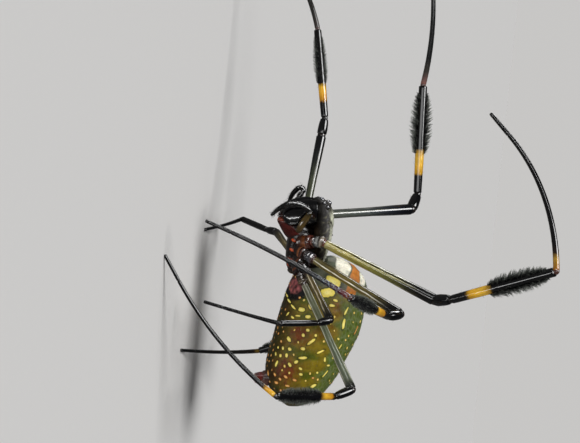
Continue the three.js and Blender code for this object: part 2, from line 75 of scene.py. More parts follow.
def fromHead(points):
    return np.asarray(points, float) @ headTurn.T + headPlace


def fromRear(points):
    return np.asarray(points, float) @ rearTurn.T + rearPlace


def toHead(points):
    return (np.asarray(points, float) - headPlace) @ headTurn


def unit(vectors):
    return vectors / np.maximum(np.linalg.norm(vectors, axis=-1, keepdims=True), 1e-9)


def smooth(low, high, value):
    t = np.clip((value - low) / (high - low), 0, 1)
    return t * t * (3 - 2 * t)


def bell(value, width=1.0):
    # 1 at nought, falling off on both sides over a width
    return np.exp(-((value / width) ** 2))


def wrapped(degrees):
    # an angle between -180 and 180 degrees
    return (degrees + 180) % 360 - 180


def paint(code):
    # a screen colour such as "c9a860" as the linear colour that shaders take
    value = np.array([int(code[i:i + 2], 16) for i in (0, 2, 4)]) / 255
    return np.where(value < 0.04045, value / 12.92, ((value + 0.055) / 1.055) ** 2.4)


def plain(code, count):
    return np.repeat(paint(code)[None], count, 0)


def paintAlong(share, stops):
    places = [place for place, _ in stops]
    colours = np.array([paint(code) for _, code in stops])
    return np.stack([np.interp(share, places, colours[:, i]) for i in range(3)], -1)


def mix(first, second, amount):
    amount = np.asarray(amount)[..., None]
    return first * (1 - amount) + second * amount


def layered(colours, ground, layers):
    # coats over a ground: a colour's name, how much of it covers and, if dimmed, how bright it is
    colour = paint(colours[ground])
    for name, amount, *bright in layers:
        colour = mix(colour, paint(colours[name]) * (bright[0] if bright else 1), amount)
    return colour


def ripple(points, size, seed, waves=9):
    # soft random waves, about -1 to 1, whose crests are about one size apart
    rng = np.random.default_rng(seed)
    ways = unit(rng.normal(size=(waves, 3))) * rng.uniform(0.6, 1.5, (waves, 1)) * 2 * np.pi / size
    return np.sin(points @ ways.T + rng.uniform(0, fullTurn, waves)).mean(-1) * 2.2


spiderPieces = bpy.data.collections.new("spiderPieces")
bpy.context.scene.collection.children.link(spiderPieces)


def closedGrid(rings, flip=False):
    # triangles over rings of points, with a fan at each end
    count, sides = rings.shape[:2]
    ring, side = np.meshgrid(np.arange(count - 1), np.arange(sides), indexing="ij")
    a = (ring * sides + side).ravel()
    b = (ring * sides + (side + 1) % sides).ravel()
    one = np.arange(sides)
    two = (one + 1) % sides
    first, last, end = count * sides, count * sides + 1, (count - 1) * sides
    faces = np.concatenate([
        np.stack([a, b, b + sides], 1),
        np.stack([a, b + sides, a + sides], 1),
        np.stack([np.full(sides, first), two, one], 1),
        np.stack([np.full(sides, last), end + one, end + two], 1),
    ])
    points = np.concatenate([rings.reshape(-1, 3), rings[0].mean(0)[None], rings[-1].mean(0)[None]])
    return points, faces[:, ::-1] if flip else faces


def buildMesh(name, points, faces, material, fields=None, patches=None, collection=spiderPieces):
    mesh = bpy.data.meshes.new(name)
    mesh.vertices.add(len(points))
    mesh.vertices.foreach_set("co", (points * mm).astype(np.float32).ravel())
    mesh.loops.add(faces.size)
    mesh.loops.foreach_set("vertex_index", faces.astype(np.int32).ravel())
    mesh.polygons.add(len(faces))
    mesh.polygons.foreach_set("loop_start", np.arange(0, faces.size, 3, dtype=np.int32))
    mesh.polygons.foreach_set("use_smooth", np.ones(len(faces), bool))
    mesh.update(calc_edges=True)
    for field, values in (fields or {}).items():
        if field == "tint":
            layer = mesh.color_attributes.new(field, "FLOAT_COLOR", "POINT")
            values = np.concatenate([values, np.ones((len(values), 1))], 1)
            layer.data.foreach_set("color", values.astype(np.float32).ravel())
        elif values.ndim == 2:
            layer = mesh.attributes.new(field, "FLOAT_VECTOR", "POINT")
            layer.data.foreach_set("vector", values.astype(np.float32).ravel())
        else:
            layer = mesh.attributes.new(field, "FLOAT", "POINT")
            layer.data.foreach_set("value", values.astype(np.float32))
    if patches is not None:
        layer = mesh.uv_layers.new(name="OFBake")
        layer.data.foreach_set("uv", patches[faces.ravel()].astype(np.float32).ravel())
    mesh.materials.append(material)
    made = bpy.data.objects.new(name, mesh)
    collection.objects.link(made)
    return made


def addPiece(name, points, faces, material, nodes=(), fields=None, patches=None):
    piece = buildMesh(name, points, faces, material, fields, patches)
    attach(piece, "root")
    if nodes:
        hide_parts(*nodes)


def joined(parts):
    # several closed shells as one mesh, with the fields they share
    offset = np.cumsum([0] + [len(part["points"]) for part in parts])
    faces = np.concatenate([part["faces"] + start for part, start in zip(parts, offset)])
    points = np.concatenate([part["points"] for part in parts])
    fields = {key: np.concatenate([part["fields"][key] for part in parts]) for key in parts[0]["fields"]}
    return points, faces, fields


def tube(line, radii, gaps=(0, 0), lip=0.25, sides=24, spacing=0.2, across=(1, 0, 0), stretch=1):
    # a closed tube along a line, its ends domed over the length of a lip
    line = np.asarray(line, float)
    reach = np.r_[0, np.cumsum(np.linalg.norm(np.diff(line, axis=0), axis=1))]
    length = reach[-1]
    start, end = gaps[0], length - gaps[1]
    lean = np.linspace(0.2, 1.45, 6)
    dome = lip * (1 - np.cos(lean))
    middle = np.linspace(start + lip, end - lip, max(3, int((end - start - 2 * lip) / spacing)))
    at = np.r_[start + dome, middle, (end - dome)[::-1]]
    swell = np.r_[np.sin(lean), np.ones(len(middle)), np.sin(lean)[::-1]]
    centres = np.stack([np.interp(at, reach, line[:, i]) for i in range(3)], 1)
    ways = unit(np.gradient(centres, at, axis=0))
    shares = at / length
    width = np.interp(shares, np.linspace(0, 1, len(radii)), radii) * swell
    side = unit(np.asarray(across, float))
    acrossList = []
    for way in ways:
        side = unit(side - way * (side @ way))
        acrossList.append(side)
    across = np.array(acrossList)
    up = np.cross(ways, across)
    angles = np.arange(sides) * 2 * np.pi / sides
    cosines, sines = np.cos(angles)[None, :, None], np.sin(angles)[None, :, None]
    spokes = across[:, None] * cosines + up[:, None] * sines * stretch
    points, faces = closedGrid(centres[:, None] + width[:, None, None] * spokes)
    return {
        "points": points, "faces": faces, "at": at, "length": length, "fields": {},
        "share": np.r_[np.repeat(shares, sides), shares[0], shares[-1]],
        "angle": np.r_[np.tile(angles, len(at)), 0, 0],
        "centres": centres, "ways": ways, "across": across, "up": up, "width": width,
    }


def curveThrough(points, count=60):
    # a smooth line through a few points
    points = np.asarray(points, float)
    padded = np.concatenate([2 * points[:1] - points[1:2], points, 2 * points[-1:] - points[-2:-1]])
    where = np.linspace(0, len(points) - 1 - 1e-6, count)
    i = where.astype(int)
    t = (where - i)[:, None]
    a, b, c, d = (padded[i + k] for k in range(4))
    square, cube = 2 * a - 5 * b + 4 * c - d, 3 * b - a - 3 * c + d
    return 0.5 * (2 * b + (c - a) * t + square * t ** 2 + cube * t ** 3)


def stationAt(stations, along, column):
    # a station's value part of the way along, on a smooth curve
    table = np.array(stations, float)
    last = len(table) - 1
    i = np.clip(np.searchsorted(table[:, 0], along) - 1, 0, last - 1)

    def at(k, which=column):
        return table[np.clip(k, 0, last)][..., which]

    def slope(k):
        return (at(k + 1) - at(k - 1)) / (at(k + 1, 0) - at(k - 1, 0))

    span = at(i + 1, 0) - at(i, 0)
    t = (along - at(i, 0)) / span
    rise = at(i + 1) - at(i)
    bend = (1 - t) * (slope(i) * span - rise) - t * (slope(i + 1) * span - rise)
    return at(i) + rise * t + t * (1 - t) * bend


def loft(stations, front, rings, sides, shape=(1, 1), inset=0.03):
    # a body along Y from stations of along, half width, top and bottom
    share = (1 - np.cos(np.linspace(0.02, np.pi - 0.02, rings))) / 2
    along = stations[-1][0] * share
    half, top, bottom = (stationAt(stations, along, k)[:, None] for k in (1, 2, 3))
    half, top, bottom = half - inset, top - inset, bottom + inset
    middle = bottom + (top - bottom) * 0.45
    angles = np.arange(sides) * 2 * np.pi / sides
    rise = np.sin(angles)[None]
    power = np.where(rise > 0, shape[0], shape[1])
    x = half * np.sign(np.cos(angles)) * np.abs(np.cos(angles)) ** power
    z = middle + rise * np.where(rise > 0, top - middle, middle - bottom)
    y = np.broadcast_to((front + along)[:, None], x.shape)
    return {"grid": np.stack([x, y, z], -1), "along": along, "angles": angles}


def gridNormals(grid):
    # outward normals of a loft's grid
    around = np.roll(grid, -1, 1) - np.roll(grid, 1, 1)
    return unit(np.cross(np.gradient(grid, axis=0), around))


def gridField(values):
    # a grid's values as one list, with one value more for each end
    flat = values.reshape(-1, *values.shape[2:])
    return np.concatenate([flat, values[:1].mean(1), values[-1:].mean(1)])


def addHeadLoft(name, body, grid, colour, stretch, material):
    # a piece of the head from a loft whose grid has been shaped; its lay runs round and along it
    points, faces = closedGrid(grid, flip=True)
    angle = np.broadcast_to(body["angles"], grid.shape[:2])
    lay = np.stack([np.cos(angle), np.sin(angle), body["grid"][..., 1] * stretch], -1)
    fields = {"tint": gridField(colour), "lay": gridField(lay)}
    addPiece(f"{name}_skin", fromHead(points), faces, material, [name], fields)


hairShape = {
    "waist": 0.55, "waistWidth": 0.6, "patch": 0.003,
    "tipShare": (0, 0, 0, 0.6, 0.6, 0.6, 1),   # how much of the tip's colour each of the seven points takes
}


def scatter(grid, count, chance, rng):
    # cells of a grid picked by surface area times a chance from 0 to 1
    rings, sides = grid.shape[:2]
    across = np.linalg.norm(np.roll(grid, -1, 1) - grid, axis=-1)
    cell = across * np.linalg.norm(np.gradient(grid, axis=0), axis=-1)
    ring, side = rng.integers(2, rings - 3, count), rng.integers(0, sides, count)
    keep = rng.random(count) < cell[ring, side] / cell.max() * chance[ring, side]
    return ring[keep], side[keep]


def combed(out, along, rng, spreading, lift):
    # ways that lie on the surface along a direction, with some spreading and lift
    stray = rng.normal(0, spreading, (len(out), 3))
    flat = unit(along - out * (along * out).sum(1, keepdims=True) + stray)
    return unit(flat + out * rng.uniform(*lift, len(out))[:, None])


def growHairs(roots, ways, bends, lengths, widths, places, tints, tips=None, keep=slice(None)):
    # one closed three-sided spike for each hair: two rings and a tip, bent along its way
    tips = tints if tips is None else tips
    roots, ways, bends, places, tints, tips = (a[keep] for a in (roots, ways, bends, places, tints, tips))
    lengths, widths = lengths[keep][:, None], widths[keep][:, None]
    count = len(roots)
    roots = roots - ways * widths * 2
    helper = np.where(np.abs(ways[:, 2:3]) < 0.8, [[0.0, 0.0, 1.0]], [[1.0, 0.0, 0.0]])
    a = unit(np.cross(ways, helper))
    b = np.cross(ways, a)
    waist, patch = hairShape["waist"], hairShape["patch"]
    middle = roots + (ways * waist + bends * waist ** 2) * lengths
    points = np.zeros((count, 7, 3))
    patches = np.zeros((count, 7, 2))
    corners = [(0, 2, 1)]
    for corner in range(3):
        angle = corner * 2 * np.pi / 3
        offset = (a * np.cos(angle) + b * np.sin(angle)) * widths
        points[:, corner] = roots + offset
        points[:, corner + 3] = middle + offset * hairShape["waistWidth"]
        patches[:, corner] = places + [patch * (corner / 2 - 0.5), -patch / 2]
        patches[:, corner + 3] = places + [patch * (corner / 2 - 0.5) * 0.8, patch * 0.1]
        after = (corner + 1) % 3
        corners += [(corner, after, after + 3), (corner, after + 3, corner + 3), (corner + 3, after + 3, 6)]
    points[:, 6] = roots + (ways + bends) * lengths
    patches[:, 6] = places + [0, patch / 2]
    faces = (np.array(corners)[None] + np.arange(count)[:, None, None] * 7).reshape(-1, 3)
    rise = np.array(hairShape["tipShare"])[None, :, None]
    tint = (tints[:, None] * (1 - rise) + tips[:, None] * rise).reshape(-1, 3)
    return {
        "points": points.reshape(-1, 3), "faces": faces, "fields": {"tint": tint},
        "patches": np.clip(patches.reshape(-1, 2), 0, 1),
    }


def bodyHairs(turn, place, roots, ways, out, sag, lengths, width, places, tints,
              tips=None, keep=slice(None)):
    # hairs of one width, given in the axes of the head or the rear, that sag towards the skin
    widths = np.full(len(roots), width)
    return growHairs(roots @ turn.T + place, ways @ turn.T, out @ turn.T * -sag, lengths, widths, places,
                     tints, tips, keep)


def addHairs(name, groups, material):
    points, faces, fields = joined(groups)
    patches = np.concatenate([group["patches"] for group in groups])
    addPiece(name, points, faces, material, fields=fields, patches=patches)


def addNode(tree, kind, inputs=None, **settings):
    node = tree.nodes.new("ShaderNode" + kind)
    for key, value in settings.items():
        setattr(node, key, value)
    for key, value in (inputs or {}).items():
        if isinstance(value, bpy.types.NodeSocket):
            tree.links.new(value, node.inputs[key])
        else:
            node.inputs[key].default_value = value
    return node


def startMaterial(name, sockets):
    # a new material with values on its shader's sockets, and the place on the object in metres
    material = bpy.data.materials.new(name)
    material.use_nodes = True
    tree = material.node_tree
    shader = tree.nodes["Principled BSDF"]
    for socket, value in sockets.items():
        shader.inputs[socket].default_value = value
    return material, tree, shader, addNode(tree, "TexCoord").outputs["Object"]


def noiseOf(tree, where, scale, detail=4.0, roughness=0.55):
    inputs = {"Vector": where, "Scale": scale, "Detail": detail, "Roughness": roughness}
    return addNode(tree, "TexNoise", inputs).outputs["Fac"]


def spread(tree, value, low, high, start=0.3, end=0.7):
    inputs = {"Value": value, "From Min": start, "From Max": end, "To Min": low, "To Max": high}
    return addNode(tree, "MapRange", inputs).outputs["Result"]


def fieldOf(tree, name, output):
    return addNode(tree, "Attribute", attribute_name=name, attribute_type="GEOMETRY").outputs[output]


def scaled(tree, colour, factor):
    # a colour times a grey value
    return addNode(tree, "VectorMath", {0: colour, 1: factor}, operation="MULTIPLY").outputs["Vector"]


def mathOf(tree, operation, first, second):
    return addNode(tree, "Math", {0: first, 1: second}, operation=operation).outputs["Value"]


def mixed(tree, first, second, factor):
    node = addNode(tree, "Mix", data_type="RGBA")
    for key, value in {"Factor": factor, "A": first, "B": second}.items():
        socket = [s for s in node.inputs if s.name == key and s.enabled][0]
        if isinstance(value, bpy.types.NodeSocket):
            tree.links.new(value, socket)
        else:
            socket.default_value = value
    return [s for s in node.outputs if s.enabled][0]


def rgba(code):
    return (*paint(code), 1.0)


def bumped(tree, shader, heights):
    # a stack of bumps, each a height, its strength and its depth in metres
    normal = {}
    for height, strength, distance in heights:
        inputs = {"Height": height, "Strength": strength, "Distance": distance, **normal}
        normal = {"Normal": addNode(tree, "Bump", inputs).outputs["Normal"]}
    tree.links.new(normal["Normal"], shader.inputs["Normal"])


def shellMaterial(name, look):
    # horny shell: mottled tint, lengthwise streaks, fine grain and pores, worn gloss
    coat, coatGloss = look["coat"]
    sockets = {"IOR": look["ior"], "Coat Weight": coat, "Coat Roughness": coatGloss}
    material, tree, shader, where = startMaterial(name, sockets)
    mottle = noiseOf(tree, where, look["mottle"][0], 5.0, 0.6)
    streaks = noiseOf(tree, fieldOf(tree, "lay", "Vector"), look["streaks"][0], 3.0, 0.5)
    colour = fieldOf(tree, "tint", "Color")
    for marks, amount in ((mottle, look["mottle"][1]), (streaks, look["streaks"][1])):
        colour = scaled(tree, colour, spread(tree, marks, 1 - amount, 1 + amount))
    tree.links.new(colour, shader.inputs["Base Color"])
    tree.links.new(spread(tree, mottle, *look["gloss"]), shader.inputs["Roughness"])
    grain = noiseOf(tree, where, look["grain"][0], 3.0, 0.6)
    pores = addNode(tree, "TexVoronoi", {"Vector": where, "Scale": look["pores"][0]}, feature="SMOOTH_F1")
    bumped(tree, shader, [
        (grain, look["grain"][1], 0.00002),
        (pores.outputs["Distance"], look["pores"][1], 0.00002),
        (streaks, look["ribs"], 0.00003),
    ])
    return material


def hairMaterial(name, scale, gloss, shine):
    # bristles: tint with small changes from hair to hair, satin gloss
    material, tree, shader, where = startMaterial(name, {"Specular IOR Level": shine})
    change = noiseOf(tree, where, scale, 2.0)
    colour = scaled(tree, fieldOf(tree, "tint", "Color"), spread(tree, change, 0.6, 1.4))
    tree.links.new(colour, shader.inputs["Base Color"])
    tree.links.new(spread(tree, change, *gloss), shader.inputs["Roughness"])
    bumped(tree, shader, [(noiseOf(tree, where, scale * 6, 2.0), 0.3, 0.000005)])
    return material


# scale and strength of mottle, streaks, grain and pores, strength of the ribs along the streaks,
# roughness from and to, and weight and roughness of the clear coat
legShell = shellMaterial("legShell", {
    "mottle": (900, 0.22), "streaks": (2.2, 0.28), "grain": (9000, 0.08), "pores": (3500, 0.05),
    "ribs": 0.1, "gloss": (0.08, 0.15), "ior": 1.5, "coat": (0.5, 0.04),
})
blackShell = shellMaterial("blackShell", {
    "mottle": (1200, 0.3), "streaks": (3.0, 0.15), "grain": (8000, 0.05), "pores": (3000, 0.05),
    "ribs": 0.03, "gloss": (0.1, 0.22), "ior": 1.5, "coat": (0.4, 0.05),
})
bodyShell = shellMaterial("bodyShell", {
    "mottle": (1100, 0.5), "streaks": (2.0, 0.15), "grain": (6000, 0.3), "pores": (2600, 0.3),
    "ribs": 0.1, "gloss": (0.2, 0.36), "ior": 1.45, "coat": (0.1, 0.1),
})
hipShell = shellMaterial("hipShell", {
    "mottle": (1500, 0.5), "streaks": (3.0, 0.25), "grain": (5200, 0.4), "pores": (2200, 0.35),
    "ribs": 0.25, "gloss": (0.16, 0.32), "ior": 1.5, "coat": (0.35, 0.06),
})
carapaceShell = shellMaterial("carapaceShell", {
    "mottle": (1900, 0.5), "streaks": (2.5, 0.3), "grain": (5200, 0.5), "pores": (2400, 0.5),
    "ribs": 0.2, "gloss": (0.36, 0.55), "ior": 1.4, "coat": (0.0, 0.1),
})
blackHair = hairMaterial("blackHair", 1500, (0.3, 0.5), 0.18)
silverHair = hairMaterial("silverHair", 1200, (0.4, 0.6), 0.5)
print("materials: shells and hairs")

legs = {
    "pairs": {
        1: {"hip": (4.4, 0.15, 0.7), "root": (1.5, 1.0, -2.0), "lengths": (18.1, 2.8, 16.6, 20.4, 4.0),
            "girth": 1.0, "brush": (0.38, 0.95, 1.9)},
        2: {"hip": (4.7, 2.6, -0.4), "root": (1.6, 2.0, -2.1), "lengths": (16.7, 2.6, 13.4, 17.8, 3.7),
            "girth": 0.88, "brush": (0.4, 0.93, 1.2)},
        3: {"hip": (4.3, 4.6, -0.8), "root": (1.6, 3.0, -2.1), "lengths": (9.2, 2.0, 6.4, 8.4, 2.8),
            "girth": 0.72, "brush": None},
        4: {"hip": (3.9, 6.2, -1.1), "root": (1.3, 4.0, -2.0), "lengths": (17.2, 2.9, 11.6, 20.2, 3.8),
            "girth": 0.8, "brush": (0.27, 0.95, 1.5)},
    },
    # turn from straight ahead to the leg's own side, and lift, of femur, patella, tibia, metatarsus, tarsus
    "pose": {
        ("left", 1): [(157.3, 67.7), (77, 52), (55, 55), (-7, -5), (-27, -42)],
        ("left", 2): [(128, 54), (100, -33), (79, -19), (-11, -63), (-22, -71)],
        ("left", 3): [(140, 29), (119, -55), (95, -47), (-59, -76), (-51, -75)],
        ("left", 4): [(161, 31), (120, -45), (90, -38), (-3, -58), (18, -31)],
        ("right", 1): [(77.6, 49.1), (31, 12), (0, -3), (-10, 9), (-10, -15)],
        ("right", 2): [(12, 4), (5, 4), (4, -11), (3, -17), (2, -55)],
        ("right", 3): [(65, -27), (83, -52), (74, -46), (-104, -17), (-100, -21)],
        ("right", 4): [(118, 23), (137, -41), (174, -67), (-91, -19), (-87, -20)],
    },
    "radii": {
        "femur": [0.62, 0.7, 0.68, 0.7, 0.8, 0.85], "patella": [0.82, 0.86, 0.81, 0.63],
        "tibia": [0.63, 0.7, 0.68, 0.66], "metatarsus": [0.47, 0.41, 0.37, 0.345],
        "tarsus": [0.34, 0.32, 0.28], "coxa": [0.9, 0.96, 0.98, 0.94, 0.8],
        "trochanter": [0.82, 0.98, 0.86, 0.97, 0.78],   # as shares of the hip's own size
    },
    # each joint, the two lengths it joins and the radius of its soft ball
    "joints": [("knee", "femur", "patella", 0.78), ("shin", "patella", "tibia", 0.59),
               ("ankle", "tibia", "metatarsus", 0.49), ("wrist", "metatarsus", "tarsus", 0.32)],
    # folds: from and to as shares of the length, depth, number; size of dents and of blotches; seed
    "hipFolds": {
        "coxa": {"folds": (0.43, 0.59, 0.05, 3), "dents": 0.8, "blotches": 0.5, "seed": 0},
        "trochanter": {"folds": (0.1, 0.95, 0.035, 3), "dents": 0.6, "blotches": 0.4, "seed": 10},
    },
    "swing": {("right", 1): -2.05},   # how far this hip lies behind or before its twin, in mm
    "thinnest": 0.26,     # the least radius, in mm
    "bandWobble": 0.16,   # how far the edges of colour bands wander, in mm
    "inset": 0.03,        # how far the skin lies inside the solids
    "hipSize": 0.86,      # radius of the trochanter of leg 1
    "neck": 0.4,          # share of the way from body to hip that the trochanter takes
}
segmentNames = ["femur", "patella", "tibia", "metatarsus", "tarsus"]

# stops of colour along each length, from the body outwards
legPaint = {
    "coxa": {1: [(0, "200c06"), (0.2, "3a1a0a"), (0.32, "542a0e"), (0.4, "723e18"), (0.45, "34140a"),
                 (0.475, "1c0807"), (0.5, "6a3a28"), (0.53, "260c09"), (0.56, "5c2e24"), (0.6, "1c0807")],
             2: [(0, "1c0c08"), (0.25, "20100a"), (0.36, "7a4420"), (0.42, "2a120c"), (0.47, "120a08"),
                 (0.51, "6a4034"), (0.55, "160c0a"), (0.6, "2c1c1a")],
             3: [(0, "140a08"), (0.3, "20100a"), (0.4, "5c3018"), (0.46, "1a0c0a"), (0.6, "100a08")],
             4: [(0, "140a08"), (0.3, "20100a"), (0.4, "5c3018"), (0.46, "1a0c0a"), (0.6, "100a08")]},
    # the grey and pale bands on the trochanters of legs 1 and 2 are painted highlights of a shiny ring; the
    # browns and pinks are the ring's own colour
    "trochanter": {1: [(0, "2c100c"), (0.16, "5c3c30"), (0.26, "161212"), (0.4, "4a4a4a"), (0.56, "82827e"),
                       (0.68, "1c1a1a"), (0.8, "7c7468"), (0.92, "4a3a2c"), (1, "40281c")],
                   2: [(0, "1c1210"), (0.3, "262224"), (0.7, "3c3c42"), (1, "3a241a")],
                   3: [(0, "16100e"), (0.5, "1c1a1c"), (1, "2c2018")],
                   4: [(0, "16100e"), (0.5, "2a2018"), (0.8, "4c3c28"), (1, "3c3024")]},
    "femur": {1: [(0, "968f66"), (0.12, "8c8244"), (0.3, "8a803c"), (0.5, "6a6830"), (0.66, "4c4d28"),
                  (0.76, "24241a"), (0.84, "0d0d0c"), (1, "070708")],
              2: [(0, "6c6444"), (0.15, "4e4628"), (0.35, "64552c"), (0.6, "524828"), (0.8, "2c2818"),
                  (0.9, "0b0a0a"), (1, "070708")],
              3: [(0, "544a32"), (0.5, "564a2a"), (0.8, "34301e"), (0.93, "0d0c0c"), (1, "070708")],
              4: [(0, "6a6656"), (0.2, "62654f"), (0.6, "5c634d"), (0.9, "565c4c"), (0.96, "262824"),
                  (1, "0f0f10")]},
    # the far side's legs get darker, duller copies of the near side's paint: painted shade
    "rightFemur": {1: [(0, "5a5e54"), (0.4, "4e5450"), (0.7, "22262e"), (0.85, "10121a"), (1, "08080a")],
                   2: [(0, "5a5a48"), (0.4, "464c3a"), (0.75, "1c2022"), (0.9, "0d0d10"), (1, "08080a")]},
    "rightMetatarsus": {1: [(0, "7a5048"), (0.04, "5c4440"), (0.1, "36332f"), (0.2, "1a1b1b"),
                            (1, "0c0d0e")],
                        2: [(0, "302827"), (0.12, "2a2826"), (0.3, "1c1e1d"), (1, "0c0d0e")],
                        4: [(0, "241a0c"), (0.02, "544012"), (0.07, "4c3a10"), (0.1, "140d06"),
                            (1, "060606")]},
    "patella": [(0, "0a0a0b"), (1, "08080a")],
    "tibia": {1: [(0, "08080a"), (0.165, "0a090a"), (0.2, "c8941e"), (0.32, "d8aa34"), (0.385, "bd9030"),
                  (0.415, "08080a"), (1, "060607")],
              2: [(0, "08080a"), (0.17, "0a090a"), (0.2, "bc801c"), (0.34, "d0a02c"), (0.38, "08080a"),
                  (1, "060607")],
              3: [(0, "0a090a"), (1, "070708")],
              4: [(0, "0a090a"), (0.06, "15100a"), (0.09, "a87418"), (0.2, "c89c2c"), (0.25, "967024"),
                  (0.28, "08080a"), (1, "060607")]},
    "metatarsus": {1: [(0, "6c3c10"), (0.02, "8c5c18"), (0.08, "96742a"), (0.12, "1c1008"),
                       (0.17, "070607"), (1, "060606")],
                   2: [(0, "5a3414"), (0.03, "5c1c18"), (0.1, "3a1420"), (0.22, "14161a"), (0.4, "0a0a0b"),
                       (1, "08080a")],
                   3: [(0, "0c0b0c"), (1, "08080a")],
                   4: [(0, "6c4a14"), (0.02, "c89a24"), (0.07, "c8901c"), (0.1, "241408"), (0.14, "070607"),
                       (1, "060606")]},
    "tarsus": [(0, "070708"), (1, "050505")],
    "hipSkin": {1: "5e3028", 2: "40201a", 3: "2c1612", 4: "2c1612"},
    "joints": {"knee": "1c1614", "shin": "100c0c", "wrist": "100c0c",
               "ankle": {1: "4a302a", 2: "3a2220", 3: "141010", 4: "1e1614"}},
    # colour of the painted glints on the metatarsus of left leg 2
    "paintedGlints": "8a9aa6",
}
# painted highlights and painted dark reflections, as lines along the femora: degrees round from the outer
# face, half width in degrees, colour, strength
streaks = {
    "face": {("left", 1): -34, ("left", 2): -92, ("left", 3): 44, ("left", 4): 52,
             ("right", 1): 177, ("right", 2): 160, ("right", 3): 163, ("right", 4): 155},
    1: [(-64, 15, "e6e6da", 0.9), (-36, 10, "101209", 1.0), (-12, 9, "d0c898", 0.55),
        (30, 5, "5c5426", 0.5), (62, 9, "b9ad70", 0.5), (84, 8, "3c3418", 0.6), (120, 10, "c9c29c", 0.6),
        (150, 8, "4a4426", 0.6), (190, 12, "d6cfa6", 0.6), (225, 7, "3c3820", 0.6)],
    2: [(-78, 9, "8c8450", 0.6), (-50, 16, "1c1a10", 0.7), (-20, 8, "7c7240", 0.4), (14, 7, "f4f0dc", 1.0),
        (38, 9, "6e5c1c", 0.6), (72, 9, "c0ac5c", 0.5), (110, 10, "2c2818", 0.7), (150, 9, "c8c2a0", 0.6),
        (195, 12, "2c2818", 0.6), (235, 9, "b4ac80", 0.5)],
    3: [(-60, 9, "2e2a18", 0.6), (-15, 8, "5a4c28", 0.5), (20, 9, "ddd2b4", 0.8), (60, 9, "3c3420", 0.6),
        (110, 10, "c8c0a0", 0.5), (160, 9, "2c2818", 0.6), (215, 9, "b4ac80", 0.5)],
    4: [(-62, 8, "e8e6d4", 0.65), (-28, 7, "343a2e", 0.6), (-6, 7, "7c846c", 0.4), (14, 7, "30362a", 0.5),
        (50, 8, "dcd8c0", 0.7), (74, 9, "40391e", 0.6), (110, 10, "bcbca4", 0.6), (150, 9, "39402f", 0.6),
        (190, 12, "dcd8c0", 0.6), (230, 9, "39402f", 0.5)],
    "start": 0.02,   # where the lines begin, and where they start to fade and end, as shares of the femur
    "end": {1: (0.66, 0.9), 2: (0.66, 0.9), 3: (0.7, 0.92), 4: (0.88, 0.97)},
    "show": {"left": 1.0, "right": 0.25},    # how strong the painted lines are
    "edge": {"left": 0.15, "right": 0.75},   # how dark the painted shade on the edges of a femur is
}


def legWay(sign, turn, lift):
    around, up = np.radians(turn), np.radians(lift)
    return np.array([sign * np.sin(around) * np.cos(up), -np.cos(around) * np.cos(up), np.sin(up)])


def bentLine(start, wayA, wayB, length, steps=60):
    # a line that turns evenly from one way to another
    bend = np.arccos(np.clip(wayA @ wayB, -1, 1))
    t = ((np.arange(steps) + 0.5) / steps)[:, None]
    if bend > 1e-4:
        ways = np.sin((1 - t) * bend) * wayA + np.sin(t * bend) * wayB
    else:
        ways = np.repeat(wayA[None], steps, 0)
    return np.concatenate([start[None], start + np.cumsum(unit(ways) * length / steps, 0)])


def legLines(side, pair):
    # the middle line of each length of one leg, from the body outwards
    sign = 1 if side == "left" else -1
    data = legs["pairs"][pair]
    mirror = np.array([sign, 1, 1])
    ways = [legWay(sign, *angles) for angles in legs["pose"][side, pair]]
    swing = np.array([0, legs["swing"].get((side, pair), 0), 0])
    root, hip = fromHead(data["root"] * mirror), fromHead(data["hip"] * mirror + swing)
    lines = {"coxa": np.linspace(root, hip, 12)}
    place = hip
    for name, way, length in zip(segmentNames, ways, data["lengths"]):
        if name == "metatarsus":
            lines[name] = bentLine(place, way, ways[4], length)
        else:
            lines[name] = np.linspace(place, place + way * length, 12)
        place = lines[name][-1]
    plane = unit(np.cross(ways[0], ways[2]))  # square to the leg's own plane
    return lines, -plane if plane[0] * sign < 0 else plane


def painted(part, colour, run=0.0):
    # gives a shell its tint and its lay: where round the leg and how far along
    angle, along = part["angle"], run + part["share"] * part["length"]
    part["fields"]["tint"] = colour
    part["fields"]["lay"] = np.stack([np.cos(angle), np.sin(angle), along * 0.12], 1)
    return part


def paintedFemurHighlightsAndShade(colour, part, side, pair):
    # translucent shell with painted highlights and painted dark reflections as lines along it, that waver a
    # little and fade towards the knee, and painted shade on its edges
    share = part["share"]
    turn = np.degrees(part["angle"]) - streaks["face"][side, pair]
    turn = turn + 4 * np.sin(share * 9 + pair) + 2 * np.sin(share * 31)
    start, (fading, gone) = streaks["start"], streaks["end"][pair]
    fade = smooth(start, start + 0.05, share) * smooth(gone, fading, share)
    for place, width, code, strength in streaks[pair]:
        line = smooth(width * 1.2, width * 0.7, np.abs(wrapped(turn - place)))
        uneven = 0.8 + 0.2 * np.sin(share * 40 + place)
        colour = mix(colour, paint(code), line * strength * fade * uneven * streaks["show"][side])
    # painted shade: the femur darkens towards its edges, round from its outer face
    rim = np.abs(np.sin(np.radians(turn))) ** 3
    return colour * (1 - streaks["edge"][side] * rim)[:, None]


def pushOut(part, amount):
    # moves a tube's points away from its middle line
    centres = part["centres"]
    sides = (len(part["points"]) - 2) // len(centres)
    middles = np.concatenate([np.repeat(centres, sides, 0), centres[:1], centres[-1:]])
    part["points"] = part["points"] + unit(part["points"] - middles) * amount[:, None]


def hipPart(part, kind, pair):
    # soft dents, folds round the tube between two shares of its length, and blotched colour
    look = legs["hipFolds"][kind]
    start, end, depth, count = look["folds"]
    share, seed = part["share"], pair + look["seed"]
    pushOut(part, 0.045 * ripple(part["points"], look["dents"], seed))
    window = smooth(start, start + 0.02, share) * smooth(end, end - 0.01, share)
    pushOut(part, depth * (np.sin((share - start) / (end - start) * count * 2 * np.pi) * window))
    blotch = 1 - 0.5 * smooth(0.1, 0.9, ripple(part["points"], look["blotches"], seed + 30, 20))
    return painted(part, paintAlong(share, legPaint[kind][pair]) * blotch[:, None])


